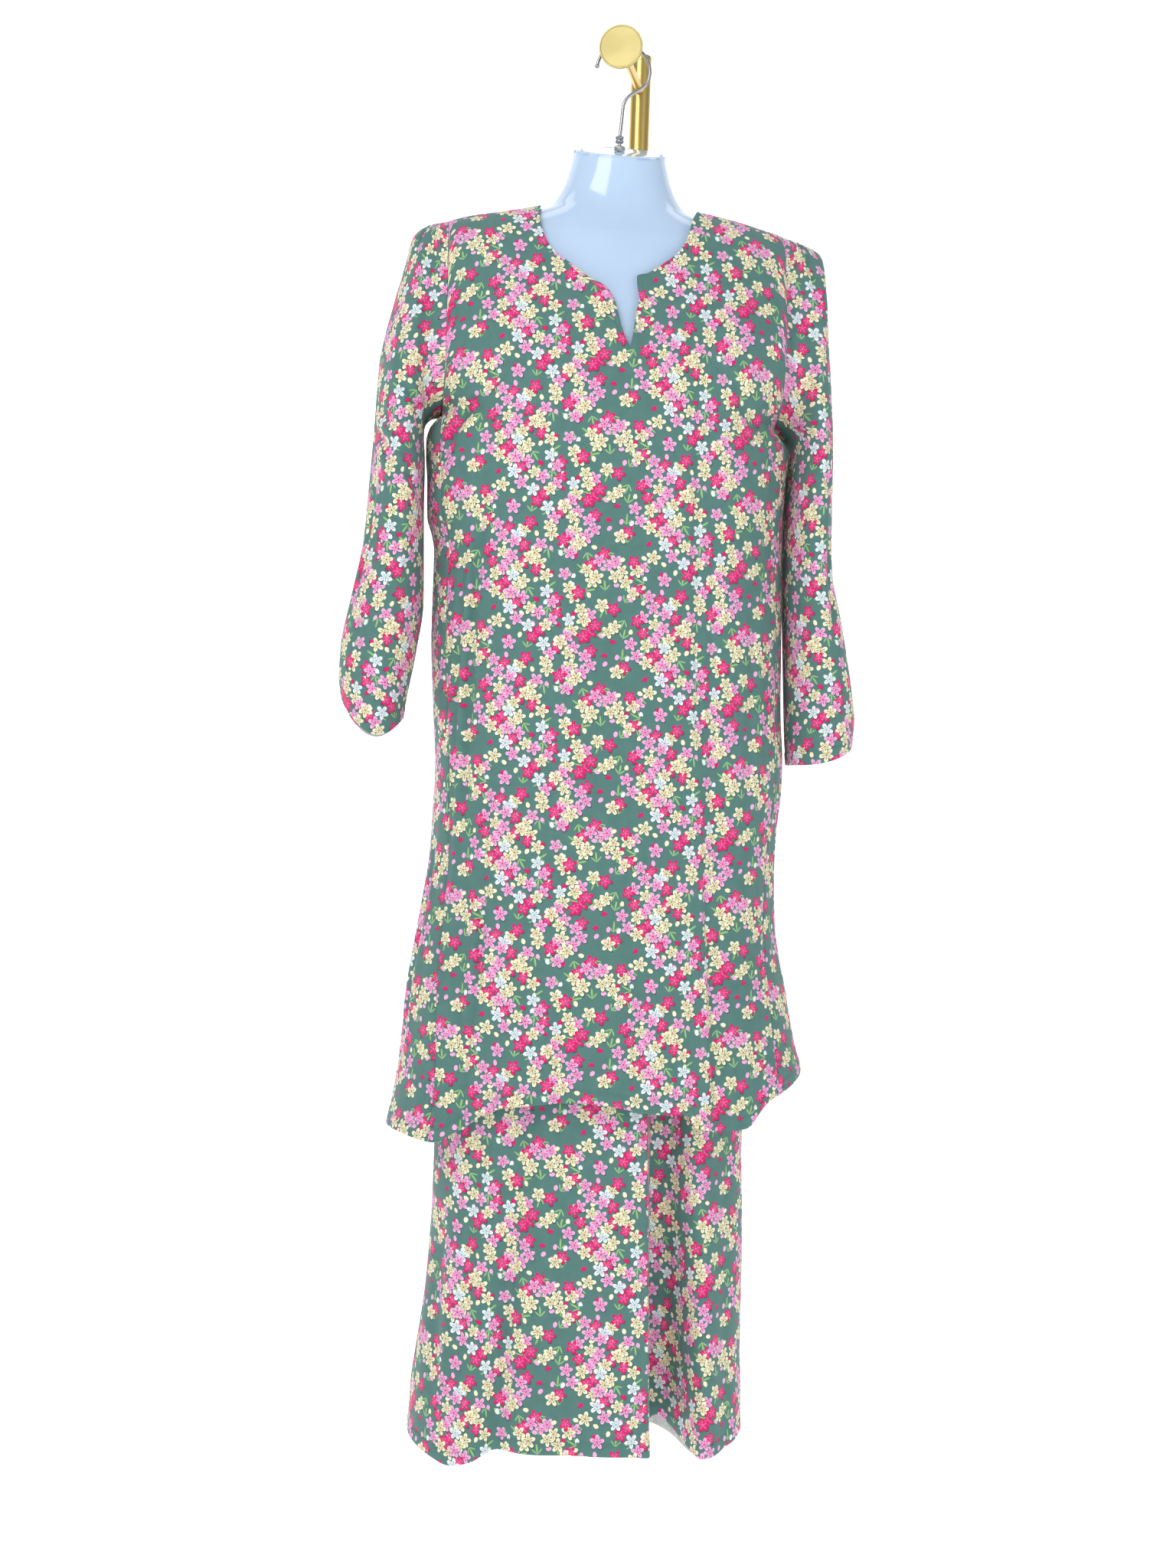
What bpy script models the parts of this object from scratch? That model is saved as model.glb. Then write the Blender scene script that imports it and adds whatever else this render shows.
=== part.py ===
"""Baju kurung: a long-sleeved tunic with a front neck slit over an ankle skirt.

The set hangs, filled out, on a limbless torso form.  A wire hook in the neck of
the form hangs from a short arm on an upright post.

Sizes are in millimetres and are scaled to metres when a mesh is made.  Shapes are
worked out about the neck of the form: x to the viewer's right, y to the back,
z up, with z = 0 level with the top of the neck.  The foot of the post is the
origin of the whole part.
"""
import math
from collections import namedtuple

import bmesh
import bpy
import numpy as np

MM = 0.001

# Cloth
CLOTH = 1.4
SEAM_GAP = 0.3
HALF_GAP = SEAM_GAP / 2
SLEEVE_SLACK = 0.05
BAND_CLOTH = 2.2
BAND_EASE = 0.5

# Tunic
ARMHOLE_LEFT = 177.0
ARMHOLE_RIGHT = 171.0
ARMPIT_Z = -290.0
GORE_TOP_Z = -290.6
HEM_LEVEL = -1000.0
PANEL_COLUMNS = 21
UPPER_ROWS = 13
LOWER_ROWS = 12
LOWER_CROWDING = 1.4
GORE_COLUMNS = 6
SHOULDER_CROWDING = 2.4
FOLD_FADE = 70.0
NECK_CUT_HIGH = 60.0
NECK_CUT_START = 4.0
NECK_CUT_LENGTH = 200.0

# Sleeves
SLEEVE_SIDES = 16
SLEEVE_RINGS = 19
SLEEVE_POWER = 2.1

# Skirt
BAND_TOP_Z = -427.0
BAND_MIDDLE_Z = -440.0
BAND_LOW_Z = -453.0
SKIRT_ROWS = 14
PLEAT_START_Z = -640.0
PLEAT_DEPTH = 80.0
PLEAT_LOW_Z = -1333.0
PLEAT_SWELL = 1.2

# Torso form
FORM_SIDES = 28
BORE_RADIUS = 2.4
BORE_DEPTH = 10.0
BORE_BEYOND = 1.0
FORM_BORE_TOP_Z = 12.0
NUT_BORE_BELOW = 8.0
NUT_BORE_TOP_Z = 20.0

# Post, arm and hook, measured from the neck of the form
POST_X = 36.5
POST_Y = 125.0
POST_RADIUS = 11.0
POST_FOOT_Z = -90.0
POST_TOP_Z = 142.0
ARM_Z = 103.0
ARM_RADIUS = 4.5
DISC_RADIUS = 23.0
DISC_THICKNESS = 3.0
DISC_BEYOND_HOOK = 10.0
WIRE_RADIUS = 1.9
HOOK_RADIUS = 28.0
HOOK_REST = 0.5
NUT_ACROSS = 11.0
NUT_HEIGHT = 5.0
CAP_SLOPE = 0.40
CAP_Z = -2.2

Section = namedtuple("Section", "z left right front back power")
NeckRing = namedtuple("NeckRing", "z half front back power tilt")
Ring = namedtuple("Ring", "outer_x outer_z inner_x inner_z depth shift bow")
Fold = namedtuple("Fold", "x_top x_low width depth_top depth_low z_top z_low")
Edge = namedtuple("Edge", "x z")
Ratio = namedtuple("Ratio", "z share")

# Outer face of the tunic: half-widths to each side, and depths to front and back.
TUNIC = [
    Section(-66, 68.2, 68.2, 56, 58, 2.0),
    Section(-69, 80, 80, 57, 60, 2.0),
    Section(-72, 95, 117, 59, 62, 1.95),
    Section(-76, 117, 145, 61, 65, 1.85),
    Section(-80, 138, 162, 63.5, 67.5, 1.8),
    Section(-85, 164, 182, 66.5, 70.5, 1.8),
    Section(-90, 180, 199, 69, 73, 1.8),
    Section(-96, 197, 210, 72, 77, 1.85),
    Section(-102, 206, 215, 75, 80.5, 1.9),
    Section(-112, 212, 218.5, 78.5, 85, 2.0),
    Section(-130, 215, 221, 85, 90, 2.1),
    Section(-160, 217, 222, 94, 95, 2.2),
    Section(-200, 214, 219, 105, 99, 2.3),
    Section(-240, 204, 204, 111, 101, 2.4),
    Section(-275, 188, 183, 113, 101, 2.4),
    Section(-290, 177.5, 171.5, 113.5, 100.5, 2.4),
    Section(-297, 183, 177, 113.5, 100.3, 2.4),
    Section(-305, 188.5, 184, 113.3, 100, 2.4),
    Section(-316, 191, 188, 113.2, 99.7, 2.4),
    Section(-335, 190.5, 187, 113, 99, 2.4),
    Section(-350, 189, 186, 112.5, 99, 2.4),
    Section(-395, 186.5, 184, 111.4, 99, 2.4),
    Section(-412, 181, 184, 111, 99, 2.4),
    Section(-430, 178, 184.5, 111, 99.3, 2.4),
    Section(-507, 178, 187, 112, 106, 2.4),
    Section(-580, 175, 189, 114, 111, 2.35),
    Section(-640, 170.5, 192.5, 115.5, 113.2, 2.35),
    Section(-665, 169.5, 192, 116, 114, 2.35),
    Section(-700, 170, 188.5, 117, 114.5, 2.35),
    Section(-740, 171.5, 187, 118, 115, 2.35),
    Section(-805, 180, 190, 119, 116, 2.35),
    Section(-880, 190.5, 206, 122, 118, 2.3),
    Section(-925, 193.5, 215.5, 124, 120, 2.3),
    Section(-959, 196, 224, 126, 122, 2.3),
    Section(-1045, 212, 228, 130, 126, 2.3),
]

# Where the seam between panel and gore runs, as a share of the half-width.
GORE_SEAM = [
    Ratio(-290, 0.9972),
    Ratio(-297, 0.970),
    Ratio(-305, 0.945),
    Ratio(-316, 0.937),
    Ratio(-640, 0.930),
    Ratio(-880, 0.860),
    Ratio(-1045, 0.800),
]

# Cut edge of the front at the neck and its slit, seen from the front.
FRONT_NECKLINE = [
    Edge(-82, -69), Edge(-84.5, -77), Edge(-86, -86), Edge(-85, -99.5), Edge(-81, -115),
    Edge(-72, -130), Edge(-60.5, -140), Edge(-48.5, -148.5), Edge(-36, -158),
    Edge(-22.5, -166), Edge(-14.5, -174.5), Edge(-8.5, -192), Edge(-4.5, -208.5),
    Edge(5, -231), Edge(8.5, -210.5), Edge(10.5, -193), Edge(14, -177), Edge(12, -164),
    Edge(11.5, -154), Edge(22, -150), Edge(36, -140), Edge(50, -128.5), Edge(60.5, -115.5),
    Edge(67, -99), Edge(71.5, -84), Edge(76, -75), Edge(80.5, -69),
]

BACK_NECKLINE = [
    Edge(-82, -69), Edge(-79, -74), Edge(-66, -79), Edge(-42, -82), Edge(-15, -84),
    Edge(12, -84), Edge(38, -82), Edge(62, -79), Edge(76, -74.5), Edge(80.5, -69),
]

TUNIC_FRONT_HEM = [
    Edge(-212, -1019), Edge(-190, -1023), Edge(-165, -1027), Edge(-139, -1014),
    Edge(-121, -1001), Edge(-91, -987), Edge(-16, -980), Edge(28, -986),
    Edge(40, -990), Edge(88, -991), Edge(97, -1004), Edge(125, -1008),
    Edge(148, -1007), Edge(175, -982), Edge(205, -967), Edge(228, -953),
]

TUNIC_BACK_HEM = [
    Edge(-212, -1019), Edge(-170, -1008), Edge(-90, -994), Edge(0, -986),
    Edge(90, -988), Edge(170, -976), Edge(228, -953),
]

# Valleys pressed into the front and back panels, deeper toward the hem.
FRONT_FOLDS = [
    Fold(84, 126, 10, 2, 9, -250, -1045),
    Fold(-132, -146, 11, 3, 9, -300, -1045),
    Fold(-112, -112, 16, 0, 12, -800, -1045),
    Fold(-44, -40, 13, 0, 5, -640, -1045),
    Fold(40, 46, 12, 0, 6, -680, -1045),
    Fold(-96, -70, 12, 2, 0, -240, -640),
]

BACK_FOLDS = [
    Fold(-118, -140, 13, 2, 10, -340, -1045),
    Fold(-58, -74, 14, 0, 7, -420, -1045),
    Fold(18, 10, 15, 0, 6, -520, -1045),
    Fold(74, 82, 13, 0, 8, -380, -1045),
    Fold(124, 146, 12, 2, 9, -340, -1045),
]

# Each ring of a sleeve is spanned by one point on its outer and one on its inner side.
LEFT_SLEEVE = [
    Ring(190, -92.5, 184, -292, 63, 0, 0),
    Ring(201, -97.5, 190, -297, 65, 0, 0),
    Ring(211, -107, 193, -302, 67, -1, 0),
    Ring(218.5, -138, 194, -307, 69, -2, 0),
    Ring(231, -188, 194, -314, 70, -3, 0),
    Ring(241, -240, 193, -326, 70, -4, 0),
    Ring(243.5, -300, 192, -346, 69, -6, 0),
    Ring(247.5, -360, 191.5, -384, 66, -8, 0),
    Ring(251.5, -420, 190, -432, 63, -11, 0),
    Ring(262, -480, 188.5, -486, 60, -14, 1),
    Ring(271, -530, 194, -535, 55, -17, 6),
    Ring(272, -562, 200, -572, 51, -19, 16),
    Ring(268, -587, 205, -604, 48, -20, 27),
]

RIGHT_SLEEVE = [
    Ring(185, -86.5, 178, -292, 63, 0, 0),
    Ring(202, -92, 186, -297, 65, 0, 0),
    Ring(214.5, -101, 190, -302, 67, -1, 0),
    Ring(218.5, -125, 192, -307, 69, -2, 0),
    Ring(221.5, -172, 192, -314, 70, -3, 0),
    Ring(227.5, -235, 191, -326, 70, -4, 0),
    Ring(232, -300, 189.5, -346, 69, -6, 0),
    Ring(234, -360, 187.5, -384, 66, -8, 0),
    Ring(235.5, -430, 188, -440, 63, -11, 0),
    Ring(248.5, -490, 190, -500, 60, -14, 0),
    Ring(261, -548, 192, -556, 55, -17, 1),
    Ring(266.5, -590, 194, -602, 51, -19, 3),
    Ring(264, -617, 197, -638, 48, -20, 6),
]

# Outer face of the skirt below its waistband.
SKIRT = [
    Section(-453.3, 130.8, 130.8, 94.2, 92.2, 2.2),
    Section(-500, 144, 145, 98, 97, 2.2),
    Section(-560, 156, 157, 102, 101, 2.25),
    Section(-620, 160, 162, 104, 102, 2.3),
    Section(-700, 159, 162, 104, 102, 2.3),
    Section(-800, 158, 161, 104, 102, 2.3),
    Section(-900, 157, 162, 104, 102, 2.3),
    Section(-1044, 157, 165, 106, 104, 2.3),
    Section(-1110, 157, 167.5, 109, 106, 2.3),
    Section(-1172, 159, 169, 111, 108, 2.3),
    Section(-1239, 166, 169.5, 113, 110, 2.3),
    Section(-1293, 172.5, 172, 115, 112, 2.3),
    Section(-1385, 176, 174, 118, 115, 2.3),
]

SKIRT_FRONT_HEM = [
    Edge(-176, -1338), Edge(-152, -1347), Edge(-137, -1351), Edge(-118, -1346),
    Edge(-103, -1338), Edge(-88, -1332), Edge(-70, -1331), Edge(40, -1333),
    Edge(64, -1335), Edge(74, -1319), Edge(82, -1316), Edge(95, -1325),
    Edge(108, -1337), Edge(118, -1344), Edge(134, -1342), Edge(150, -1337),
    Edge(164, -1332), Edge(174, -1327),
]

SKIRT_BACK_HEM = [
    Edge(-176, -1338), Edge(-120, -1356), Edge(0, -1364), Edge(85, -1362),
    Edge(114, -1370), Edge(142, -1390), Edge(160, -1374), Edge(174, -1327),
]

SKIRT_FRONT_FOLDS = [
    Fold(-70, -90, 15, 0, 15, -640, -1365),
    Fold(-20, -16, 22, 0, 4, -760, -1365),
    Fold(128, 146, 9, 0, 5, -760, -1365),
]

SKIRT_BACK_FOLDS = [
    Fold(-88, -104, 17, 0, 16, -640, -1365),
    Fold(-22, -30, 19, 0, 13, -680, -1365),
    Fold(50, 58, 18, 0, 17, -640, -1365),
    Fold(112, 124, 14, 0, 10, -660, -1365),
]

# The pleat's place and reach across the front, from its start down to the hem.
PLEAT_CENTRE_TOP = 52.0
PLEAT_CENTRE_LOW = 82.0
PLEAT_LEFT_TOP = 14.0
PLEAT_LEFT_LOW = 15.0
PLEAT_RIGHT_TOP = 24.0
PLEAT_RIGHT_LOW = 27.0
PLEAT_LEFT_POWER = 6
PLEAT_RIGHT_POWER = 3
PLEAT_STATIONS = [-1.45, -1.22, -1.12, -1.04, -0.96, -0.87, -0.75, -0.5,
                  0.0, 0.3, 0.55, 0.75, 0.92, 1.08, 1.25, 1.5, 1.8]
SKIRT_LEFT_COLUMNS = 9
SKIRT_RIGHT_COLUMNS = 4
SKIRT_BACK_COLUMNS = 16

# The neck block with its slanted top, then the torso down to its rounded end.
FORM_NECK = [
    NeckRing(-2.2, 38, 36, 36, 2.2, 0.40),
    NeckRing(-3.4, 44.5, 42, 42, 2.4, 0.40),
    NeckRing(-7, 47.3, 45, 45, 2.4, 0.39),
    NeckRing(-15, 49, 46.5, 46.5, 2.3, 0.34),
    NeckRing(-36, 54.5, 48, 49, 2.2, 0.18),
    NeckRing(-53, 62, 50, 52, 2.1, 0.06),
    NeckRing(-63, 71, 52, 54, 2.05, 0.0),
    NeckRing(-70.9, 80, 53, 56, 2.0, 0.0),
]

FORM_TORSO = [
    Section(-70.9, 80, 80, 53, 56, 2.0),
    Section(-78, 117, 117, 56, 60, 1.8),
    Section(-82, 138, 138, 58, 62, 1.72),
    Section(-87, 164, 164, 61, 65, 1.70),
    Section(-92, 178, 178, 63.5, 68, 1.72),
    Section(-99, 188, 188, 67, 72, 1.78),
    Section(-111, 195, 195, 72.5, 78, 1.93),
    Section(-140, 197, 197, 82, 86, 2.1),
    Section(-170, 192, 192, 91, 91, 2.2),
    Section(-205, 180, 180, 101, 94, 2.3),
    Section(-240, 168, 168, 107, 95, 2.3),
    Section(-290, 160, 160, 107, 93, 2.3),
    Section(-350, 145, 145, 98, 89, 2.25),
    Section(-440, 127.5, 127.5, 91, 89, 2.2),
    Section(-520, 140, 140, 93, 92, 2.2),
    Section(-600, 152, 152, 97, 96, 2.2),
    Section(-640, 152, 152, 97, 95, 2.2),
    Section(-664, 141, 141, 89, 87, 2.2),
    Section(-678, 112, 112, 68, 66, 2.1),
    Section(-683, 62, 62, 36, 35, 2.0),
]
FORM_LEVELS = [-70.9, -74, -78, -82, -87, -92, -99, -111, -125, -140, -170, -205, -240,
               -290, -350, -395, -427, -440, -453, -520, -600, -640, -664, -678, -683]


class Profile:
    """Reads a table of sections at any height, smoothly and without overshoot."""

    def __init__(self, rows, key="z"):
        ordered = sorted(rows, key=lambda row: getattr(row, key))
        self.at = np.array([getattr(row, key) for row in ordered], dtype=float)
        self.columns = {
            name: np.array([getattr(row, name) for row in ordered], dtype=float)
            for name in ordered[0]._fields if name != key
        }

    def read(self, name, where):
        values = self.columns[name]
        slopes = np.diff(values) / np.diff(self.at)
        tangents = np.zeros_like(values)
        tangents[0] = slopes[0]
        tangents[-1] = slopes[-1]
        same_way = slopes[:-1] * slopes[1:] > 0
        both = slopes[:-1] + slopes[1:]
        middle = 2 * slopes[:-1] * slopes[1:] / np.where(same_way, both, 1.0)
        tangents[1:-1] = np.where(same_way, middle, 0.0)
        place = np.clip(np.asarray(where, dtype=float), self.at[0], self.at[-1])
        low = np.clip(np.searchsorted(self.at, place, side="right") - 1, 0, len(slopes) - 1)
        step = self.at[low + 1] - self.at[low]
        t = (place - self.at[low]) / step
        rise = t * t * (3 - 2 * t)
        start = t * (1 - t) ** 2 * step * tangents[low]
        end = t * t * (t - 1) * step * tangents[low + 1]
        return values[low] * (1 - rise) + values[low + 1] * rise + start + end


class Body:
    """A closed wall around the figure whose level sections are rounded boxes."""

    def __init__(self, sections):
        self.profile = Profile(sections)
        self.top = max(row.z for row in sections)

    def half_width(self, x_sign, z):
        side = np.where(np.asarray(x_sign) < 0, -1, 1)
        left = self.profile.read("left", z)
        right = self.profile.read("right", z)
        return np.where(side < 0, left, right)

    def half_depth(self, y_sign, z):
        front = self.profile.read("front", z)
        back = self.profile.read("back", z)
        return np.where(np.asarray(y_sign) < 0, front, back)

    def depth_at(self, x, y_sign, z):
        """Distance from the middle plane to the wall, at one x."""
        power = self.profile.read("power", z)
        share = np.clip(np.abs(x) / self.half_width(x, z), 0, 1)
        return self.half_depth(y_sign, z) * (1 - share ** power) ** (1 / power)

    def width_at(self, x_sign, y, z):
        """Distance from the middle plane to the wall, at one y."""
        power = self.profile.read("power", z)
        share = np.clip(np.abs(y) / self.half_depth(y, z), 0, 1)
        return self.half_width(x_sign, z) * (1 - share ** power) ** (1 / power)

    def level(self, x, y, z):
        """Negative inside the wall, zero on it and positive outside."""
        power = self.profile.read("power", z)
        across = (np.abs(x) / self.half_width(x, z)) ** power
        through = (np.abs(y) / self.half_depth(y, z)) ** power
        return across + through - 1

    def ridge_z(self, x):
        """Height of the shoulder line above one x."""
        heights = np.linspace(self.top, ARMPIT_Z / 2, 400)
        widths = self.half_width(x, heights)
        return float(np.interp(abs(x), widths, heights))


def fold_depth(folds, x, z):
    """How far the valleys of a table press the cloth in, at x and z."""
    total = np.zeros(np.broadcast(x, z).shape)
    for fold in folds:
        t = (z - fold.z_top) / (fold.z_low - fold.z_top)
        inside = np.clip(t, 0, 1)
        centre = fold.x_top + (fold.x_low - fold.x_top) * inside
        depth = fold.depth_top + (fold.depth_low - fold.depth_top) * inside
        above = np.clip(1 - (z - fold.z_top) / FOLD_FADE, 0, 1)
        below = np.clip(1 - (fold.z_low - z) / FOLD_FADE, 0, 1)
        fade = above * below
        total = total + depth * fade * np.exp(-((x - centre) / fold.width) ** 2)
    return total


def calm_near(x, edge, start=0.80):
    """Falls from 1 to 0 between a share of the way to an edge and the edge."""
    t = np.clip((np.abs(x) / edge - start) / (1 - start), 0, 1)
    return 1 - t * t * (3 - 2 * t)


def grid_faces(rows, columns, closed=False):
    """Quads of a grid whose rows run down and whose columns run across."""
    faces = []
    span = columns if closed else columns - 1
    for row in range(rows - 1):
        for column in range(span):
            after = (column + 1) % columns
            top = row * columns
            low = top + columns
            faces.append((top + column, low + column, low + after, top + after))
    return faces


def boundary(faces):
    """Edges that only one face uses, in that face's direction."""
    seen = set()
    for face in faces:
        for start, end in zip(face, face[1:] + face[:1]):
            seen.add((start, end))
    return [edge for edge in seen if (edge[1], edge[0]) not in seen]


def wall_mesh(name, outer, inner, faces):
    """Closed wall between two sheets of matching points, halved the same way on both."""
    count = len(outer)
    points = np.vstack([outer, inner]) * MM
    halves = [half for face in faces for half in (face[:3], (face[0],) + face[2:])]
    behind = [tuple(count + index for index in reversed(half)) for half in halves]
    rim = [(end, start, count + start, count + end) for start, end in boundary(faces)]
    mesh = bpy.data.meshes.new(name)
    mesh.from_pydata(points.tolist(), [], halves + behind + rim)
    shape = bmesh.new()
    shape.from_mesh(mesh)
    bmesh.ops.recalc_face_normals(shape, faces=shape.faces)
    shape.to_mesh(mesh)
    shape.free()
    mesh.validate()
    return mesh


def make_material(name, colour, roughness, metallic=0.0):
    material = bpy.data.materials.new(name)
    material.use_nodes = True
    shader = material.node_tree.nodes["Principled BSDF"]
    shader.inputs["Base Color"].default_value = (*colour, 1.0)
    shader.inputs["Roughness"].default_value = roughness
    shader.inputs["Metallic"].default_value = metallic
    material.diffuse_color = (*colour, 1.0)
    return material


def add_object(name, mesh, material, parent, smooth_angle=35):
    """Puts a mesh in the scene under its own name, material and parent."""
    thing = bpy.data.objects.new(name, mesh)
    bpy.context.scene.collection.objects.link(thing)
    thing.parent = parent
    mesh.materials.append(material)
    mesh.shade_smooth()
    mesh.set_sharp_from_angle(angle=math.radians(smooth_angle))
    return thing


def outward(level, points, step=0.05):
    """Unit normals of a level function at points."""
    x, y, z = points.T
    slope = np.stack([
        level(x + step, y, z) - level(x - step, y, z),
        level(x, y + step, z) - level(x, y - step, z),
        level(x, y, z + step) - level(x, y, z - step),
    ], axis=1)
    return slope / np.linalg.norm(slope, axis=1, keepdims=True)


def seam_x(body, side, z):
    """Where the panel meets the gore, on the left (-1) or right (1) side."""
    return Profile(GORE_SEAM).read("share", z) * body.half_width(side, z)


def hem_z(table, x):
    return float(Profile(table, "x").read("z", x))


def column_spread(count, widest=68.0):
    """Shares from -1 to 1, closer together near the sides, where the wall turns."""
    angles = np.radians(np.linspace(-widest, widest, count))
    return np.sin(angles) / math.sin(math.radians(widest))


def neck_cutter(name, neckline, y_sign, parent):
    """Prism that takes the neck opening out of one panel."""
    first = Edge(neckline[0].x, NECK_CUT_HIGH)
    last = Edge(neckline[-1].x, NECK_CUT_HIGH)
    outline = [first] + list(neckline) + [last]
    start_y = -y_sign * NECK_CUT_START
    shape = bmesh.new()
    near = [shape.verts.new((edge.x * MM, start_y * MM, edge.z * MM)) for edge in outline]
    face = shape.faces.new(near)
    swept = bmesh.ops.extrude_face_region(shape, geom=[face])
    moved = [item for item in swept["geom"] if isinstance(item, bmesh.types.BMVert)]
    bmesh.ops.translate(shape, verts=moved, vec=(0, y_sign * NECK_CUT_LENGTH * MM, 0))
    bmesh.ops.recalc_face_normals(shape, faces=shape.faces)
    mesh = bpy.data.meshes.new(name)
    shape.to_mesh(mesh)
    shape.free()
    cutter = bpy.data.objects.new(name, mesh)
    bpy.context.scene.collection.objects.link(cutter)
    cutter.parent = parent
    return cutter


def tunic_panel(name, body, neckline, hem_table, folds, y_sign, material, parent):
    """Front (y_sign -1) or back (1) of the tunic, from shoulder line to hem."""
    spread = column_spread(PANEL_COLUMNS)
    rows = UPPER_ROWS + LOWER_ROWS + 1
    xs = np.zeros((rows, PANEL_COLUMNS))
    zs = np.zeros((rows, PANEL_COLUMNS))
    for column, share in enumerate(spread):
        side = -1 if share < 0 else 1
        armhole = ARMHOLE_LEFT if side < 0 else ARMHOLE_RIGHT
        upper_x = share * (armhole - HALF_GAP)
        top_z = body.ridge_z(upper_x)
        for row in range(UPPER_ROWS + 1):
            drop = (row / UPPER_ROWS) ** SHOULDER_CROWDING
            zs[row, column] = top_z + (ARMPIT_Z - top_z) * drop
            xs[row, column] = upper_x
        hem_x = share * float(seam_x(body, side, HEM_LEVEL))
        low_z = hem_z(hem_table, hem_x)
        for row in range(1, LOWER_ROWS + 1):
            z = ARMPIT_Z + (low_z - ARMPIT_Z) * (row / LOWER_ROWS) ** LOWER_CROWDING
            edge_x = float(seam_x(body, side, z)) - HALF_GAP
            zs[UPPER_ROWS + row, column] = z
            xs[UPPER_ROWS + row, column] = share * edge_x

    def press(x, z):
        edge = np.where(z > ARMPIT_Z, ARMHOLE_LEFT, seam_x(body, x, z))
        return fold_depth(folds, x, z) * calm_near(x, edge)

    def level(x, y, z):
        return body.level(x, y + y_sign * press(x, z), z)

    x, z = xs.ravel(), zs.ravel()
    depth = body.depth_at(x, y_sign, z) - press(x, z)
    y = y_sign * np.maximum(depth, HALF_GAP)
    outer = np.stack([x, y, z], axis=1)
    inner = outer - CLOTH * outward(level, outer)
    inner[:, 1] = y_sign * np.maximum(y_sign * inner[:, 1], HALF_GAP)
    mesh = wall_mesh(name, outer, inner, grid_faces(rows, PANEL_COLUMNS))
    panel = add_object(name, mesh, material, parent)
    cut(panel, neck_cutter(name + "_neckline", neckline, y_sign, parent))
    return panel


def tunic_gore(name, body, side, material, parent):
    """Side piece that widens from the armpit to the hem, between the panels."""
    rows = LOWER_ROWS + 1
    points = np.zeros((rows, GORE_COLUMNS + 1, 3))
    for column in range(GORE_COLUMNS + 1):
        share = 2 * column / GORE_COLUMNS - 1
        y_sign = -1 if share < 0 else 1
        hem_table = TUNIC_FRONT_HEM if share < 0 else TUNIC_BACK_HEM
        hem_seam = seam_x(body, side, HEM_LEVEL)
        hem_y = abs(share) * body.depth_at(side * hem_seam, y_sign, HEM_LEVEL)
        hem_x = side * body.width_at(side, hem_y * y_sign, HEM_LEVEL)
        low_z = hem_z(hem_table, hem_x)
        for row in range(rows):
            z = ARMPIT_Z + (low_z - ARMPIT_Z) * (row / LOWER_ROWS) ** LOWER_CROWDING
            near_seam = seam_x(body, side, z) + HALF_GAP
            y = share * body.depth_at(side * near_seam, y_sign, z)
            x = side * body.width_at(side, y, z)
            points[row, column] = (x, y, min(z, GORE_TOP_Z))
    outer = points.reshape(-1, 3)
    inner = outer - CLOTH * outward(body.level, outer)
    mesh = wall_mesh(name, outer, inner, grid_faces(rows, GORE_COLUMNS + 1))
    return add_object(name, mesh, material, parent)


def ring_normals(points):
    """Outward normals of a tube given as rings of points."""
    around = np.roll(points, -1, axis=1) - np.roll(points, 1, axis=1)
    along = np.gradient(points, axis=0)
    normal = np.cross(along, around)
    normal /= np.linalg.norm(normal, axis=2, keepdims=True)
    away = points - points.mean(axis=1, keepdims=True)
    facing = np.sign((normal * away).sum(axis=(1, 2)))
    return normal * facing[:, None, None]


def sleeve(name, body, side, table, material, parent):
    """Open tube from the armhole down to the cuff."""
    armhole = ARMHOLE_LEFT if side < 0 else ARMHOLE_RIGHT
    start_x = armhole + HALF_GAP + SLEEVE_SLACK
    top_z = body.ridge_z(side * armhole)
    angles = np.linspace(0, 2 * math.pi, SLEEVE_SIDES, endpoint=False)
    rise = (np.cos(angles) + 1) / 2
    first_z = ARMPIT_Z + (top_z - ARMPIT_Z) * rise
    first_sign = np.where(np.sin(angles) < 0, -1, 1)
    first_y = body.depth_at(side * armhole, first_sign, first_z)
    flat = np.isclose(np.sin(angles), 0)
    first_y = np.where(flat, 0, first_y) * first_sign
    widest = np.abs(first_y).max()

    rows = [Ring(start_x, top_z, start_x, ARMPIT_Z, widest, 0, 0)] + list(table)
    along = np.linspace(0, len(rows) - 1, SLEEVE_RINGS)
    keyed = namedtuple("Keyed", ("at",) + Ring._fields)
    profile = Profile([keyed(index, *row) for index, row in enumerate(rows)], "at")
    points = np.zeros((SLEEVE_RINGS, SLEEVE_SIDES, 3))
    oval = np.sign(np.sin(angles)) * np.abs(np.sin(angles)) ** (2 / SLEEVE_POWER)
    for index, place in enumerate(along):
        outer_x = profile.read("outer_x", place)
        inner_x = profile.read("inner_x", place)
        outer_z = profile.read("outer_z", place)
        inner_z = profile.read("inner_z", place)
        depth = profile.read("depth", place)
        settled = min(1.0, place / 3)
        across = (1 - settled) * first_y / widest + settled * oval
        points[index, :, 0] = side * (inner_x + (outer_x - inner_x) * rise)
        points[index, :, 1] = depth * across + profile.read("shift", place)
        bow = profile.read("bow", place) * 4 * rise * (1 - rise)
        points[index, :, 2] = inner_z + (outer_z - inner_z) * rise - bow
    normals = ring_normals(points)
    flat_normals = normals[0] * np.array([0, 1, 1])
    normals[0] = flat_normals / np.linalg.norm(flat_normals, axis=1, keepdims=True)
    outer = points.reshape(-1, 3)
    inner = outer - CLOTH * normals.reshape(-1, 3)
    faces = grid_faces(SLEEVE_RINGS, SLEEVE_SIDES, closed=True)
    mesh = wall_mesh(name, outer, inner, faces)
    return add_object(name, mesh, material, parent)


def pleat_run(z):
    """Share of the way from the start of the pleat down to the hem."""
    return (z - PLEAT_START_Z) / (PLEAT_LOW_Z - PLEAT_START_Z)


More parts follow.
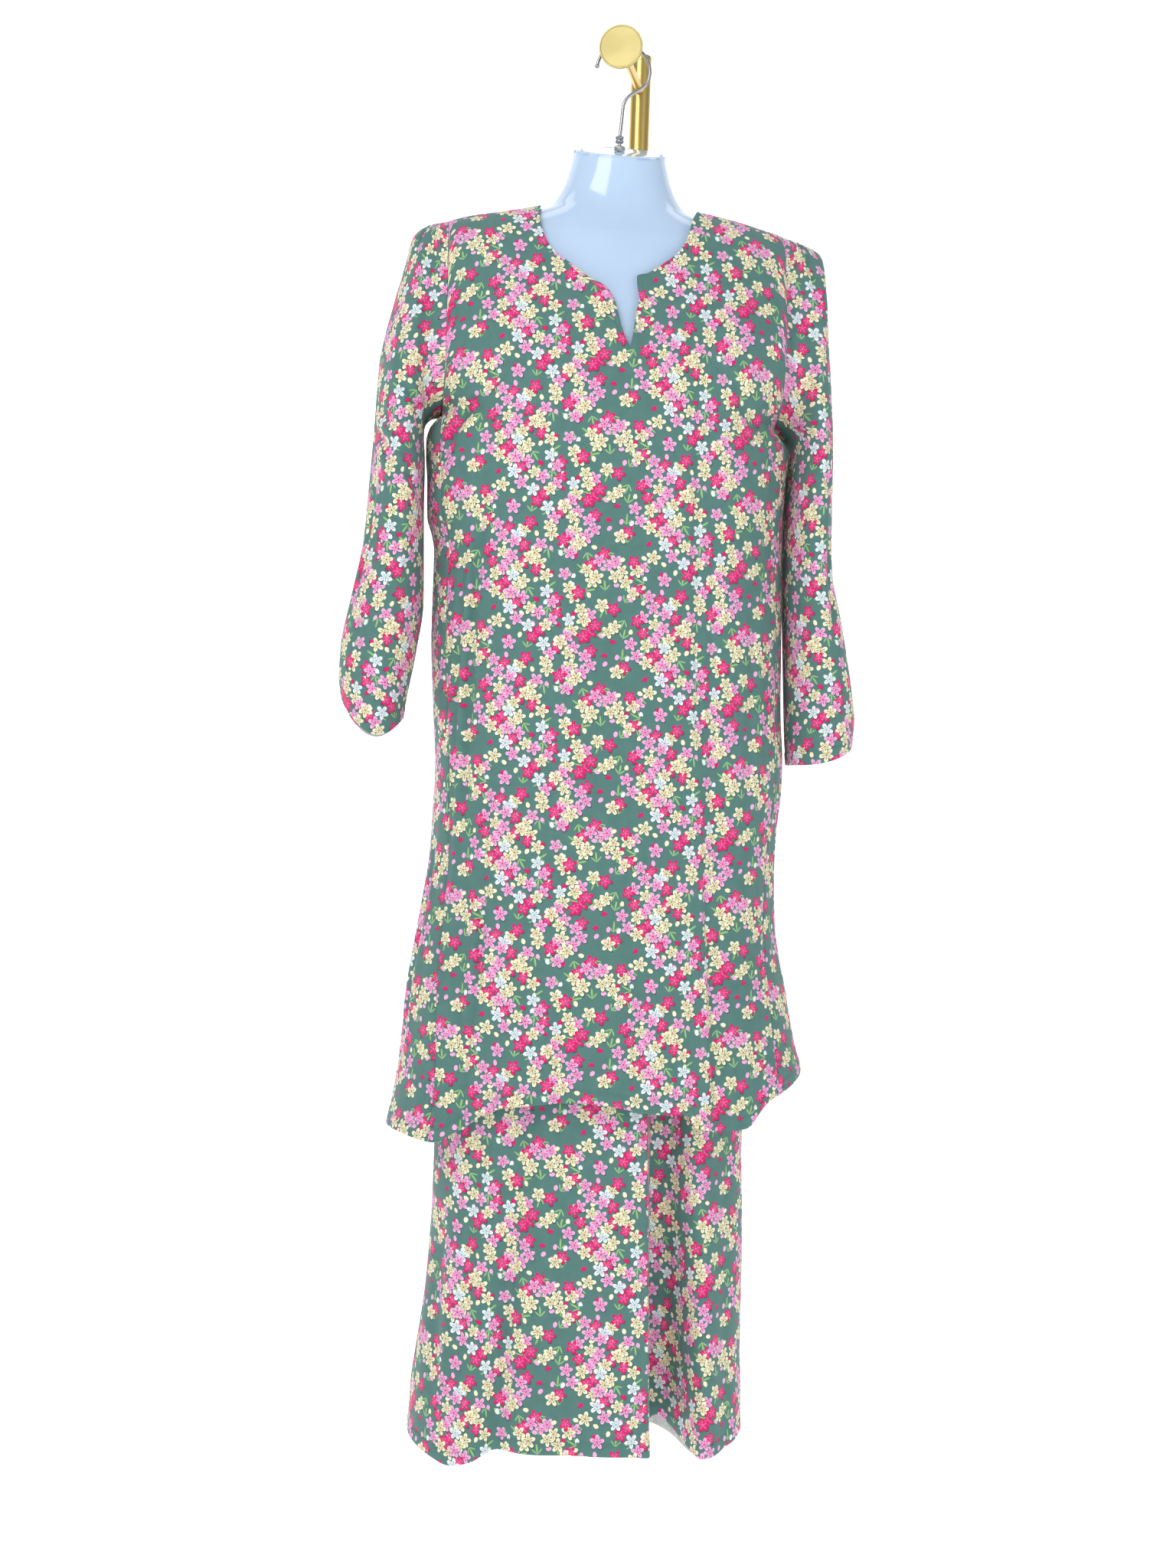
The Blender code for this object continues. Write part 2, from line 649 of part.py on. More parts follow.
def pleat_centre(z):
    t = np.clip(pleat_run(z), 0, 1)
    return PLEAT_CENTRE_TOP + (PLEAT_CENTRE_LOW - PLEAT_CENTRE_TOP) * t


def pleat_half(side, z):
    """Reach of the pleat's steep left wall (side -1) or its gentler right one (1)."""
    t = np.clip(pleat_run(z), 0, 1)
    left = PLEAT_LEFT_TOP + (PLEAT_LEFT_LOW - PLEAT_LEFT_TOP) * t
    right = PLEAT_RIGHT_TOP + (PLEAT_RIGHT_LOW - PLEAT_RIGHT_TOP) * t
    return np.where(np.asarray(side) < 0, left, right)


def pleat_depth(x, z):
    """The deep pleat at the viewer's right: nothing at the hip, deepest at the hem."""
    t = np.clip(pleat_run(z), 0, 1.1)
    away = x - pleat_centre(z)
    reach = np.abs(away) / pleat_half(away, z)
    power = np.where(away < 0, PLEAT_LEFT_POWER, PLEAT_RIGHT_POWER)
    return PLEAT_DEPTH * t ** PLEAT_SWELL * np.exp(-reach ** power)


def skirt_panel(name, body, y_sign, hem_table, press, column_x, material, parent):
    """Front (-1) or back (1) of the skirt, from the waistband to the hem."""
    columns = len(column_x(HEM_LEVEL))
    lowest = column_x(PLEAT_LOW_Z)
    xs = np.zeros((SKIRT_ROWS + 1, columns))
    zs = np.zeros((SKIRT_ROWS + 1, columns))
    for column in range(columns):
        low_z = hem_z(hem_table, lowest[column])
        for row in range(SKIRT_ROWS + 1):
            z = body.top + (low_z - body.top) * row / SKIRT_ROWS
            zs[row, column] = z
            xs[row, column] = column_x(z)[column]

    def calm_press(x, z):
        return press(x, z) * calm_near(x, body.half_width(x, z), 0.90)

    def level(x, y, z):
        return body.level(x, y + y_sign * calm_press(x, z), z)

    x, z = xs.ravel(), zs.ravel()
    depth = body.depth_at(x, y_sign, z) - calm_press(x, z)
    y = y_sign * depth
    y[0::columns] = y_sign * HALF_GAP
    y[columns - 1::columns] = y_sign * HALF_GAP
    outer = np.stack([x, y, z], axis=1)
    inner = outer - CLOTH * outward(level, outer)
    inner[0::columns, 1] = y_sign * HALF_GAP
    inner[columns - 1::columns, 1] = y_sign * HALF_GAP
    mesh = wall_mesh(name, outer, inner, grid_faces(SKIRT_ROWS + 1, columns))
    return add_object(name, mesh, material, parent)


def front_skirt_columns(body):
    """Column places for the front: even round the left, close together in the pleat."""
    def places(z):
        centre = pleat_centre(z)
        pleat = [centre + float(pleat_half(at, z)) * at for at in PLEAT_STATIONS]
        left = float(body.half_width(-1, z))
        right = float(body.half_width(1, z))
        first = math.asin(min(pleat[0] / left, 1.0))
        last = math.asin(min(pleat[-1] / right, 1.0))
        turns_left = np.linspace(-math.pi / 2, first, SKIRT_LEFT_COLUMNS + 1)[:-1]
        turns_right = np.linspace(last, math.pi / 2, SKIRT_RIGHT_COLUMNS + 1)[1:]
        before = [left * math.sin(turn) for turn in turns_left]
        after = [right * math.sin(turn) for turn in turns_right]
        return np.array(before + pleat + after)
    return places


def back_skirt_columns(body):
    def places(z):
        turns = np.linspace(-math.pi / 2, math.pi / 2, SKIRT_BACK_COLUMNS + 1)
        reach = np.sin(turns)
        return reach * body.half_width(reach, z)
    return places


def section_ring(section_at, z, sides, grow=0.0, tilt=0.0):
    """Points round one level section, grown outward by a set amount."""
    turns = np.linspace(0, 2 * math.pi, sides, endpoint=False)
    half, front, back, power = section_at(z)
    depth = np.where(np.sin(turns) < 0, front, back)
    x = np.sign(np.cos(turns)) * np.abs(np.cos(turns)) ** (2 / power) * (half + grow)
    y = np.sign(np.sin(turns)) * np.abs(np.sin(turns)) ** (2 / power) * (depth + grow)
    return np.stack([x, y, np.full(sides, z) + tilt * y], axis=1)


def torso_section(z):
    profile = Profile(FORM_TORSO)
    return [float(profile.read(name, z)) for name in ("left", "front", "back", "power")]


def neck_section(z):
    profile = Profile(FORM_NECK)
    return [float(profile.read(name, z)) for name in ("half", "front", "back", "power")]


def make_waistband(material, parent):
    """Band that fits the waist of the form and carries the skirt."""
    levels = [BAND_TOP_Z, BAND_MIDDLE_Z, BAND_LOW_Z]
    outer = [section_ring(torso_section, z, FORM_SIDES, BAND_EASE + BAND_CLOTH) for z in levels]
    inner = [section_ring(torso_section, z, FORM_SIDES, BAND_EASE) for z in levels]
    faces = grid_faces(len(levels), FORM_SIDES, closed=True)
    mesh = wall_mesh("skirt_waistband", np.vstack(outer), np.vstack(inner), faces)
    return add_object("skirt_waistband", mesh, material, parent)


def lofted_mesh(name, rings):
    """Closed solid through rings, with a flat face over each end."""
    sides = len(rings[0])
    points = np.vstack(rings) * MM
    faces = grid_faces(len(rings), sides, closed=True)
    faces.append(tuple(reversed(range(sides))))
    faces.append(tuple(range(len(points) - sides, len(points))))
    mesh = bpy.data.meshes.new(name)
    mesh.from_pydata(points.tolist(), [], faces)
    shape = bmesh.new()
    shape.from_mesh(mesh)
    bmesh.ops.recalc_face_normals(shape, faces=shape.faces)
    shape.to_mesh(mesh)
    shape.free()
    return mesh


def cut(thing, cutter):
    """Takes a wire-drawn cutter out of an object."""
    cutter.hide_render = True
    cutter.display_type = "WIRE"
    modifier = thing.modifiers.new("bore", "BOOLEAN")
    modifier.operation = "DIFFERENCE"
    modifier.solver = "EXACT"
    modifier.object = cutter


def rod_mesh(name, radius, length, sides, chamfer=0.0):
    """Rod along +z from its foot at zero."""
    shape = bmesh.new()
    bmesh.ops.create_cone(shape, cap_ends=True, segments=sides, radius1=radius * MM,
                          radius2=radius * MM, depth=length * MM)
    bmesh.ops.translate(shape, verts=shape.verts, vec=(0, 0, length * MM / 2))
    if chamfer:
        top = [edge for edge in shape.edges if all(v.co.z > length * MM * 0.9 for v in edge.verts)]
        bmesh.ops.bevel(shape, geom=top, offset=chamfer * MM, segments=2, profile=0.5,
                        affect="EDGES")
    mesh = bpy.data.meshes.new(name)
    shape.to_mesh(mesh)
    shape.free()
    return mesh


def stem_bore(name, low_z, high_z, parent):
    """Upright cutter for the hole that the hook's stem goes down."""
    cutter = bpy.data.objects.new(name, rod_mesh(name, BORE_RADIUS, high_z - low_z, 12))
    bpy.context.scene.collection.objects.link(cutter)
    cutter.parent = parent
    cutter.location = (0, 0, low_z * MM)
    return cutter


def make_form(material, parent):
    """Neck block and limbless torso, in one smooth piece."""
    neck = []
    for row in FORM_NECK[:-1]:
        neck.append(section_ring(neck_section, row.z, FORM_SIDES, tilt=row.tilt))
    torso = [section_ring(torso_section, z, FORM_SIDES) for z in FORM_LEVELS]
    form = add_object("dress_form", lofted_mesh("dress_form", neck + torso), material, parent,
                      smooth_angle=50)
    cut(form, stem_bore("form_bore", CAP_Z - BORE_DEPTH - BORE_BEYOND, FORM_BORE_TOP_Z, parent))
    return form


def make_nut(material, parent):
    """Six-sided nut that sits square on the slanted top of the neck."""
    shape = bmesh.new()
    corner = NUT_ACROSS / math.sqrt(3)
    bmesh.ops.create_cone(shape, cap_ends=True, segments=6, radius1=corner * MM,
                          radius2=corner * MM, depth=NUT_HEIGHT * MM)
    mesh = bpy.data.meshes.new("neck_nut")
    shape.to_mesh(mesh)
    shape.free()
    nut = add_object("neck_nut", mesh, material, parent)
    lean = math.atan(CAP_SLOPE)
    lift = NUT_HEIGHT / 2 + SEAM_GAP
    nut.rotation_euler = (lean, 0, 0)
    nut.location = (0, -math.sin(lean) * lift * MM, (CAP_Z + math.cos(lean) * lift) * MM)
    cut(nut, stem_bore("nut_bore", CAP_Z - NUT_BORE_BELOW, NUT_BORE_TOP_Z, parent))
    return nut


def hook_route():
    """Middle line of the hook: ball end, round over the arm, side bend, then stem."""
    centre_z = ARM_Z + ARM_RADIUS + HOOK_REST + WIRE_RADIUS - HOOK_RADIUS
    points = []
    for degrees in range(174, -1, -12):
        turn = math.radians(degrees)
        points.append((1.5 + HOOK_RADIUS * math.cos(turn), centre_z + HOOK_RADIUS * math.sin(turn)))
    bend = [(29.0, 76.0), (26.5, 70.0), (22.0, 65.5), (16.0, 61.5), (10.0, 57.5), (5.5, 53.0),
            (3.0, 48.0), (2.2, 42.0), (1.6, 32.0), (0.8, 20.0), (0.0, 12.0), (0.0, 2.0),
            (0.0, CAP_Z - BORE_DEPTH + 1)]
    return points + bend


def make_hook(material, parent):
    """Bent wire with a ball at its open end."""
    route = hook_route()
    curve = bpy.data.curves.new("hook_wire", "CURVE")
    curve.dimensions = "3D"
    curve.bevel_depth = WIRE_RADIUS * MM
    curve.bevel_resolution = 2
    curve.use_fill_caps = True
    line = curve.splines.new("POLY")
    line.points.add(len(route) - 1)
    for index, (x, z) in enumerate(route):
        line.points[index].co = (x * MM, 0, z * MM, 1)
    line.points[0].radius = 1.15
    line.points[1].radius = 1.0
    curve.materials.append(material)
    hook = bpy.data.objects.new("hook_wire", curve)
    bpy.context.scene.collection.objects.link(hook)
    hook.parent = parent
    return hook


def make_collar(material, parent):
    """Small waisted collar round the stem, just above the nut."""
    profile = [(BORE_RADIUS, 0.0), (4.0, 0.0), (4.6, 1.6), (3.6, 3.4), (4.6, 5.2), (4.0, 6.8),
               (BORE_RADIUS, 6.8)]
    shape = bmesh.new()
    corners = [shape.verts.new((x * MM, 0, z * MM)) for x, z in profile]
    outline = shape.faces.new(corners)
    swept = [outline] + list(outline.edges) + list(outline.verts)
    bmesh.ops.spin(shape, geom=swept, cent=(0, 0, 0), axis=(0, 0, 1), angle=2 * math.pi,
                   steps=12, use_merge=True)
    bmesh.ops.remove_doubles(shape, verts=shape.verts, dist=0.00001)
    inside = [face for face in shape.faces if len(face.verts) > 4]
    bmesh.ops.delete(shape, geom=inside, context="FACES_ONLY")
    bmesh.ops.recalc_face_normals(shape, faces=shape.faces)
    mesh = bpy.data.meshes.new("stem_collar")
    shape.to_mesh(mesh)
    shape.free()
    collar = add_object("stem_collar", mesh, material, parent)
    collar.location = (0, 0, 6.2 * MM)
    return collar


def make_post(material, parent):
    """Upright round post behind the neck."""
    mesh = rod_mesh("rail_post", POST_RADIUS, POST_TOP_Z - POST_FOOT_Z, 28, chamfer=1.5)
    post = add_object("rail_post", mesh, material, parent)
    post.location = (POST_X * MM, POST_Y * MM, POST_FOOT_Z * MM)
    return post


def arm_direction():
    """Level unit direction from the post to the hook."""
    reach = math.hypot(POST_X, POST_Y)
    return -POST_X / reach, -POST_Y / reach, reach


def make_arm(material, parent):
    """Level rod from the face of the post, through the hook, to the end disc."""
    across, forward, reach = arm_direction()
    start = POST_RADIUS + SEAM_GAP
    length = reach - start + DISC_BEYOND_HOOK
    mesh = rod_mesh("rail_arm", ARM_RADIUS, length, 16)
    arm = add_object("rail_arm", mesh, material, parent)
    heading = math.atan2(forward, across)
    arm.rotation_euler = (0, math.pi / 2, heading)
    place = (POST_X + across * start, POST_Y + forward * start, ARM_Z)
    arm.location = [value * MM for value in place]
    return arm


def make_disc(material, parent):
    """Round end stop with a thin raised rim on its face."""
    across, forward, reach = arm_direction()
    shape = bmesh.new()
    profile = [(0.0, 0.0), (DISC_RADIUS - 0.8, 0.0), (DISC_RADIUS, 0.8),
               (DISC_RADIUS, DISC_THICKNESS), (DISC_RADIUS - 1.6, DISC_THICKNESS),
               (DISC_RADIUS - 2.0, DISC_THICKNESS - 0.6), (0.0, DISC_THICKNESS - 0.6)]
    corners = [shape.verts.new((x * MM, 0, z * MM)) for x, z in profile]
    chain = [shape.edges.new(pair) for pair in zip(corners, corners[1:])]
    bmesh.ops.spin(shape, geom=corners + chain, cent=(0, 0, 0), axis=(0, 0, 1),
                   angle=2 * math.pi, steps=32, use_merge=True)
    bmesh.ops.remove_doubles(shape, verts=shape.verts, dist=0.00001)
    bmesh.ops.recalc_face_normals(shape, faces=shape.faces)
    mesh = bpy.data.meshes.new("arm_disc")
    shape.to_mesh(mesh)
    shape.free()
    disc = add_object("arm_disc", mesh, material, parent)
    out = reach + DISC_BEYOND_HOOK + SEAM_GAP
    disc.rotation_euler = (0, math.pi / 2, math.atan2(forward, across))
    place = (POST_X + across * out, POST_Y + forward * out, ARM_Z)
    disc.location = [value * MM for value in place]
    return disc


def main():
    for thing in list(bpy.data.objects):
        bpy.data.objects.remove(thing, do_unlink=True)

    neck_place = bpy.data.objects.new("neck_place", None)
    bpy.context.scene.collection.objects.link(neck_place)
    neck_place.location = (-POST_X * MM, -POST_Y * MM, -POST_FOOT_Z * MM)

    cloth = make_material("printed_cloth", (0.12, 0.26, 0.20), 0.75)
    gore_cloth = make_material("gore_cloth", (0.15, 0.30, 0.23), 0.75)
    sleeve_cloth = make_material("sleeve_cloth", (0.17, 0.33, 0.26), 0.75)
    skirt_cloth = make_material("skirt_cloth", (0.11, 0.24, 0.19), 0.75)
    band_cloth = make_material("band_cloth", (0.20, 0.30, 0.25), 0.8)
    milky = make_material("milky_plastic", (0.58, 0.70, 0.92), 0.18)
    chrome = make_material("chrome_wire", (0.80, 0.80, 0.80), 0.12, 1.0)
    steel = make_material("steel_nut", (0.55, 0.58, 0.55), 0.3, 1.0)
    gold = make_material("satin_gold", (0.60, 0.42, 0.12), 0.32, 1.0)
    pale_gold = make_material("pale_gold", (0.72, 0.60, 0.28), 0.5, 0.6)

    tunic = Body(TUNIC)
    tunic_panel("tunic_front", tunic, FRONT_NECKLINE, TUNIC_FRONT_HEM, FRONT_FOLDS, -1, cloth,
                neck_place)
    tunic_panel("tunic_back", tunic, BACK_NECKLINE, TUNIC_BACK_HEM, BACK_FOLDS, 1, cloth,
                neck_place)
    tunic_gore("gore_left", tunic, -1, gore_cloth, neck_place)
    tunic_gore("gore_right", tunic, 1, gore_cloth, neck_place)
    sleeve("sleeve_left", tunic, -1, LEFT_SLEEVE, sleeve_cloth, neck_place)
    sleeve("sleeve_right", tunic, 1, RIGHT_SLEEVE, sleeve_cloth, neck_place)

    skirt = Body(SKIRT)

    def press_front(x, z):
        return pleat_depth(x, z) + fold_depth(SKIRT_FRONT_FOLDS, x, z)

    def press_back(x, z):
        return fold_depth(SKIRT_BACK_FOLDS, x, z)

    skirt_panel("skirt_front", skirt, -1, SKIRT_FRONT_HEM, press_front,
                front_skirt_columns(skirt), skirt_cloth, neck_place)
    skirt_panel("skirt_back", skirt, 1, SKIRT_BACK_HEM, press_back,
                back_skirt_columns(skirt), skirt_cloth, neck_place)
    make_waistband(band_cloth, neck_place)

    make_form(milky, neck_place)
    make_nut(steel, neck_place)
    make_hook(chrome, neck_place)
    make_collar(chrome, neck_place)
    make_post(gold, neck_place)
    make_arm(gold, neck_place)
    make_disc(pale_gold, neck_place)


main()
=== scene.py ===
import math
from collections import namedtuple

import bmesh
import bpy
import numpy as np
from mathutils import Matrix, Vector


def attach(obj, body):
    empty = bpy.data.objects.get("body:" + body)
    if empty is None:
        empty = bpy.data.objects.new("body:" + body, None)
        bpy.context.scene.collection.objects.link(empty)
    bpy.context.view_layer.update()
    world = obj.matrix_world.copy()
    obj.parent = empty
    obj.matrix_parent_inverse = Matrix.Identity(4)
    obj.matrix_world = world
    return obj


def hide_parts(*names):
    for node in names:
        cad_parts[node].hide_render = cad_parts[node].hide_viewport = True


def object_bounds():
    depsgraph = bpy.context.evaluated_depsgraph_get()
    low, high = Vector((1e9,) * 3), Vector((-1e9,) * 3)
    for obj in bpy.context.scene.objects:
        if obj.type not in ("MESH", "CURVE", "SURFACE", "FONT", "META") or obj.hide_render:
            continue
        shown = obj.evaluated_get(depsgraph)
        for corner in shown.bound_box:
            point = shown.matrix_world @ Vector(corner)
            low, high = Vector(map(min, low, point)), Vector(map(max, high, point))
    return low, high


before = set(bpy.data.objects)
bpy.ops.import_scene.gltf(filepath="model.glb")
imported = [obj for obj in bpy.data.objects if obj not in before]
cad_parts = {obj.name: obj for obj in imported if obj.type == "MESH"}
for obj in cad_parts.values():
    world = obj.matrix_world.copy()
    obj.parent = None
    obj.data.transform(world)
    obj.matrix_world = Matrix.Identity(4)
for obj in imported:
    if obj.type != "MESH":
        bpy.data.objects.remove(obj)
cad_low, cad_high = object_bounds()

MM = 0.001
NECK_PLACE = np.array([-36.5, -125.0, 90.0])

# Cloth
CLOTH = 1.4
HALF_GAP = 0.15
HEM_TURN = 13.0
SEAM_WIDTH = 2.4
SEAM_SINK = 0.45

# Tunic
ARMHOLE_LEFT = 177.0
ARMHOLE_RIGHT = 171.0
ARMPIT_Z = -290.0
GORE_DROP = 0.6
HEM_LEVEL = -1000.0
SLIT_LOW_Z = -231.0
SLIT_X = 5.0
FOLD_FADE = 70.0
SHOULDER_CROWDING = 2.4
NECK_CROWDING = 1.4
CREASE_STRENGTH = 1.4
STITCH_PITCH = 3.4
STITCH_LONG = 2.3
STITCH_THICK = 0.28
NECK_STITCH = 5.0

# Skirt
PLEAT_START_Z = -640.0
PLEAT_DEPTH = 80.0
PLEAT_LOW_Z = -1333.0
PLEAT_SWELL = 1.2
PLEAT_CENTRE_TOP = 52.0
PLEAT_CENTRE_LOW = 82.0
PLEAT_LEFT_TOP = 14.0
PLEAT_LEFT_LOW = 15.0
PLEAT_RIGHT_TOP = 24.0
PLEAT_RIGHT_LOW = 27.0
PLEAT_LEFT_POWER = 6
PLEAT_RIGHT_POWER = 3
BAND_TOP_Z = -427.0
BAND_LOW_Z = -453.0
BAND_CLOTH = 2.2
BAND_EASE = 0.5

# Form, hook, post and arm
CAP_Z = -2.2
CAP_SLOPE = 0.40
POST_X = 36.5
POST_Y = 125.0
POST_RADIUS = 11.0
POST_FOOT_Z = -90.0
POST_TOP_Z = 142.0
ARM_Z = 103.0
ARM_RADIUS = 4.5
DISC_RADIUS = 23.0
DISC_THICKNESS = 3.0
DISC_BEYOND_HOOK = 10.0
WIRE_RADIUS = 1.9
HOOK_RADIUS = 28.0
HOOK_REST = 0.5
NUT_ACROSS = 11.0
NUT_HEIGHT = 5.0
GAP = 0.3

# Camera: level, with a slight roll, turned a little to the garment's left
CAMERA_TARGET = (-9.6, 0.0, -665.0)
CAMERA_DISTANCE = 2200.0
CAMERA_AZIMUTH = math.radians(6.6)
CAMERA_ROLL = math.radians(2.0)
CAMERA_LENS = 48.3
SENSOR = 36.0

# Print: a half-drop repeat, in millimetres of cloth
REPEAT_WIDE = 154.0
REPEAT_HIGH = 135.0

Section = namedtuple("Section", "z left right front back power")
Ring = namedtuple("Ring", "outer_x outer_z inner_x inner_z depth shift bow")
Fold = namedtuple("Fold", "x_top x_low width depth_top depth_low z_top z_low")
Crease = namedtuple("Crease", "across along lean length width depth")
Edge = namedtuple("Edge", "x z")
Ratio = namedtuple("Ratio", "z share")
Level = namedtuple("Level", "z half_x half_y centre_y")

TUNIC = [
    Section(-66, 68.2, 68.2, 56, 58, 2.0),
    Section(-69, 80, 80, 57, 60, 2.0),
    Section(-72, 95, 117, 59, 62, 1.95),
    Section(-76, 117, 145, 61, 65, 1.85),
    Section(-80, 138, 162, 63.5, 67.5, 1.8),
    Section(-85, 164, 182, 66.5, 70.5, 1.8),
    Section(-90, 180, 199, 69, 73, 1.8),
    Section(-96, 197, 210, 72, 77, 1.85),
    Section(-102, 206, 215, 75, 80.5, 1.9),
    Section(-112, 212, 218.5, 78.5, 85, 2.0),
    Section(-130, 215, 221, 85, 90, 2.1),
    Section(-160, 217, 222, 94, 95, 2.2),
    Section(-200, 214, 219, 105, 99, 2.3),
    Section(-240, 204, 204, 111, 101, 2.4),
    Section(-275, 188, 183, 113, 101, 2.4),
    Section(-290, 177.5, 171.5, 113.5, 100.5, 2.4),
    Section(-297, 183, 177, 113.5, 100.3, 2.4),
    Section(-305, 188.5, 184, 113.3, 100, 2.4),
    Section(-316, 191, 188, 113.2, 99.7, 2.4),
    Section(-335, 190.5, 187, 113, 99, 2.4),
    Section(-350, 189, 186, 112.5, 99, 2.4),
    Section(-395, 186.5, 184, 111.4, 99, 2.4),
    Section(-412, 181, 184, 111, 99, 2.4),
    Section(-430, 178, 184.5, 111, 99.3, 2.4),
    Section(-507, 178, 187, 112, 106, 2.4),
    Section(-580, 175, 189, 114, 111, 2.35),
    Section(-640, 170.5, 192.5, 115.5, 113.2, 2.35),
    Section(-665, 169.5, 192, 116, 114, 2.35),
    Section(-700, 170, 188.5, 117, 114.5, 2.35),
    Section(-740, 171.5, 187, 118, 115, 2.35),
    Section(-805, 180, 190, 119, 116, 2.35),
    Section(-880, 190.5, 206, 122, 118, 2.3),
    Section(-925, 193.5, 215.5, 124, 120, 2.3),
    Section(-959, 196, 224, 126, 122, 2.3),
    Section(-1045, 212, 228, 130, 126, 2.3),
]

GORE_SEAM = [
    Ratio(-290, 0.9972),
    Ratio(-297, 0.970),
    Ratio(-305, 0.945),
    Ratio(-316, 0.937),
    Ratio(-640, 0.930),
    Ratio(-880, 0.860),
    Ratio(-1045, 0.800),
]

LEFT_NECKLINE = [
    Edge(-82, -69), Edge(-84.5, -77), Edge(-86, -86), Edge(-85, -99.5), Edge(-81, -115),
    Edge(-72, -130), Edge(-60.5, -140), Edge(-48.5, -148.5), Edge(-36, -158),
    Edge(-22.5, -166), Edge(-14.5, -174.5), Edge(-8.5, -192), Edge(-4.5, -208.5),
    Edge(5, -231),
]
RIGHT_NECKLINE = [
    Edge(80.5, -69), Edge(76, -75), Edge(71.5, -84), Edge(67, -99), Edge(60.5, -115.5),
    Edge(50, -128.5), Edge(36, -140), Edge(22, -150), Edge(11.5, -154), Edge(12, -164),
    Edge(14, -177), Edge(10.5, -193), Edge(8.5, -210.5), Edge(5, -231),
]
BACK_NECKLINE = [
    Edge(-82, -69), Edge(-79, -74), Edge(-66, -79), Edge(-42, -82), Edge(-15, -84),
    Edge(12, -84), Edge(38, -82), Edge(62, -79), Edge(76, -74.5), Edge(80.5, -69),
]

TUNIC_FRONT_HEM = [
    Edge(-212, -1019), Edge(-190, -1023), Edge(-165, -1027), Edge(-139, -1014),
    Edge(-121, -1001), Edge(-91, -987), Edge(-16, -980), Edge(28, -986),
    Edge(40, -990), Edge(88, -991), Edge(97, -1004), Edge(125, -1008),
    Edge(148, -1007), Edge(175, -982), Edge(205, -967), Edge(228, -953),
]
TUNIC_BACK_HEM = [
    Edge(-212, -1019), Edge(-170, -1008), Edge(-90, -994), Edge(0, -986),
    Edge(90, -988), Edge(170, -976), Edge(228, -953),
]

FRONT_FOLDS = [
    Fold(84, 126, 10, 2, 9, -250, -1045),
    Fold(-132, -146, 11, 3, 9, -300, -1045),
    Fold(-112, -112, 16, 0, 12, -800, -1045),
    Fold(-44, -40, 13, 0, 5, -640, -1045),
    Fold(40, 46, 12, 0, 6, -680, -1045),
    Fold(-96, -70, 12, 2, 0, -240, -640),
]
BACK_FOLDS = [
    Fold(-118, -140, 13, 2, 10, -340, -1045),
    Fold(-58, -74, 14, 0, 7, -420, -1045),
    Fold(18, 10, 15, 0, 6, -520, -1045),
    Fold(74, 82, 13, 0, 8, -380, -1045),
    Fold(124, 146, 12, 2, 9, -340, -1045),
]

LEFT_SLEEVE = [
    Ring(190, -92.5, 184, -292, 63, 0, 0),
    Ring(201, -97.5, 190, -297, 65, 0, 0),
    Ring(211, -107, 193, -302, 67, -1, 0),
    Ring(218.5, -138, 194, -307, 69, -2, 0),
    Ring(231, -188, 194, -314, 70, -3, 0),
    Ring(241, -240, 193, -326, 70, -4, 0),
    Ring(243.5, -300, 192, -346, 69, -6, 0),
    Ring(247.5, -360, 191.5, -384, 66, -8, 0),
    Ring(251.5, -420, 190, -432, 63, -11, 0),
    Ring(262, -480, 188.5, -486, 60, -14, 1),
    Ring(271, -530, 194, -535, 55, -17, 6),
    Ring(272, -562, 200, -572, 51, -19, 16),
    Ring(268, -587, 205, -604, 48, -20, 27),
]
RIGHT_SLEEVE = [
    Ring(185, -86.5, 178, -292, 63, 0, 0),
    Ring(202, -92, 186, -297, 65, 0, 0),
    Ring(214.5, -101, 190, -302, 67, -1, 0),
    Ring(218.5, -125, 192, -307, 69, -2, 0),
    Ring(221.5, -172, 192, -314, 70, -3, 0),
    Ring(227.5, -235, 191, -326, 70, -4, 0),
    Ring(232, -300, 189.5, -346, 69, -6, 0),
    Ring(234, -360, 187.5, -384, 66, -8, 0),
    Ring(235.5, -430, 188, -440, 63, -11, 0),
    Ring(248.5, -490, 190, -500, 60, -14, 0),
    Ring(261, -548, 192, -556, 55, -17, 1),
    Ring(266.5, -590, 194, -602, 51, -19, 3),
    Ring(264, -617, 197, -638, 48, -20, 6),
]
SLEEVE_POWER = 2.1

SKIRT = [
    Section(-453.3, 130.8, 130.8, 94.2, 92.2, 2.2),
    Section(-500, 144, 145, 98, 97, 2.2),
    Section(-560, 156, 157, 102, 101, 2.25),
    Section(-620, 160, 162, 104, 102, 2.3),
    Section(-700, 159, 162, 104, 102, 2.3),
    Section(-800, 158, 161, 104, 102, 2.3),
    Section(-900, 157, 162, 104, 102, 2.3),
    Section(-1044, 157, 165, 106, 104, 2.3),
    Section(-1110, 157, 167.5, 109, 106, 2.3),
    Section(-1172, 159, 169, 111, 108, 2.3),
    Section(-1239, 166, 169.5, 113, 110, 2.3),
    Section(-1293, 172.5, 172, 115, 112, 2.3),
    Section(-1385, 176, 174, 118, 115, 2.3),
]
SKIRT_FRONT_HEM = [
    Edge(-176, -1338), Edge(-152, -1347), Edge(-137, -1351), Edge(-118, -1346),
    Edge(-103, -1338), Edge(-88, -1332), Edge(-70, -1331), Edge(40, -1333),
    Edge(64, -1335), Edge(74, -1319), Edge(82, -1316), Edge(95, -1325),
    Edge(108, -1337), Edge(118, -1344), Edge(134, -1342), Edge(150, -1337),
    Edge(164, -1332), Edge(174, -1327),
]
SKIRT_BACK_HEM = [
    Edge(-176, -1338), Edge(-120, -1356), Edge(0, -1364), Edge(85, -1362),
    Edge(114, -1370), Edge(142, -1390), Edge(160, -1374), Edge(174, -1327),
]
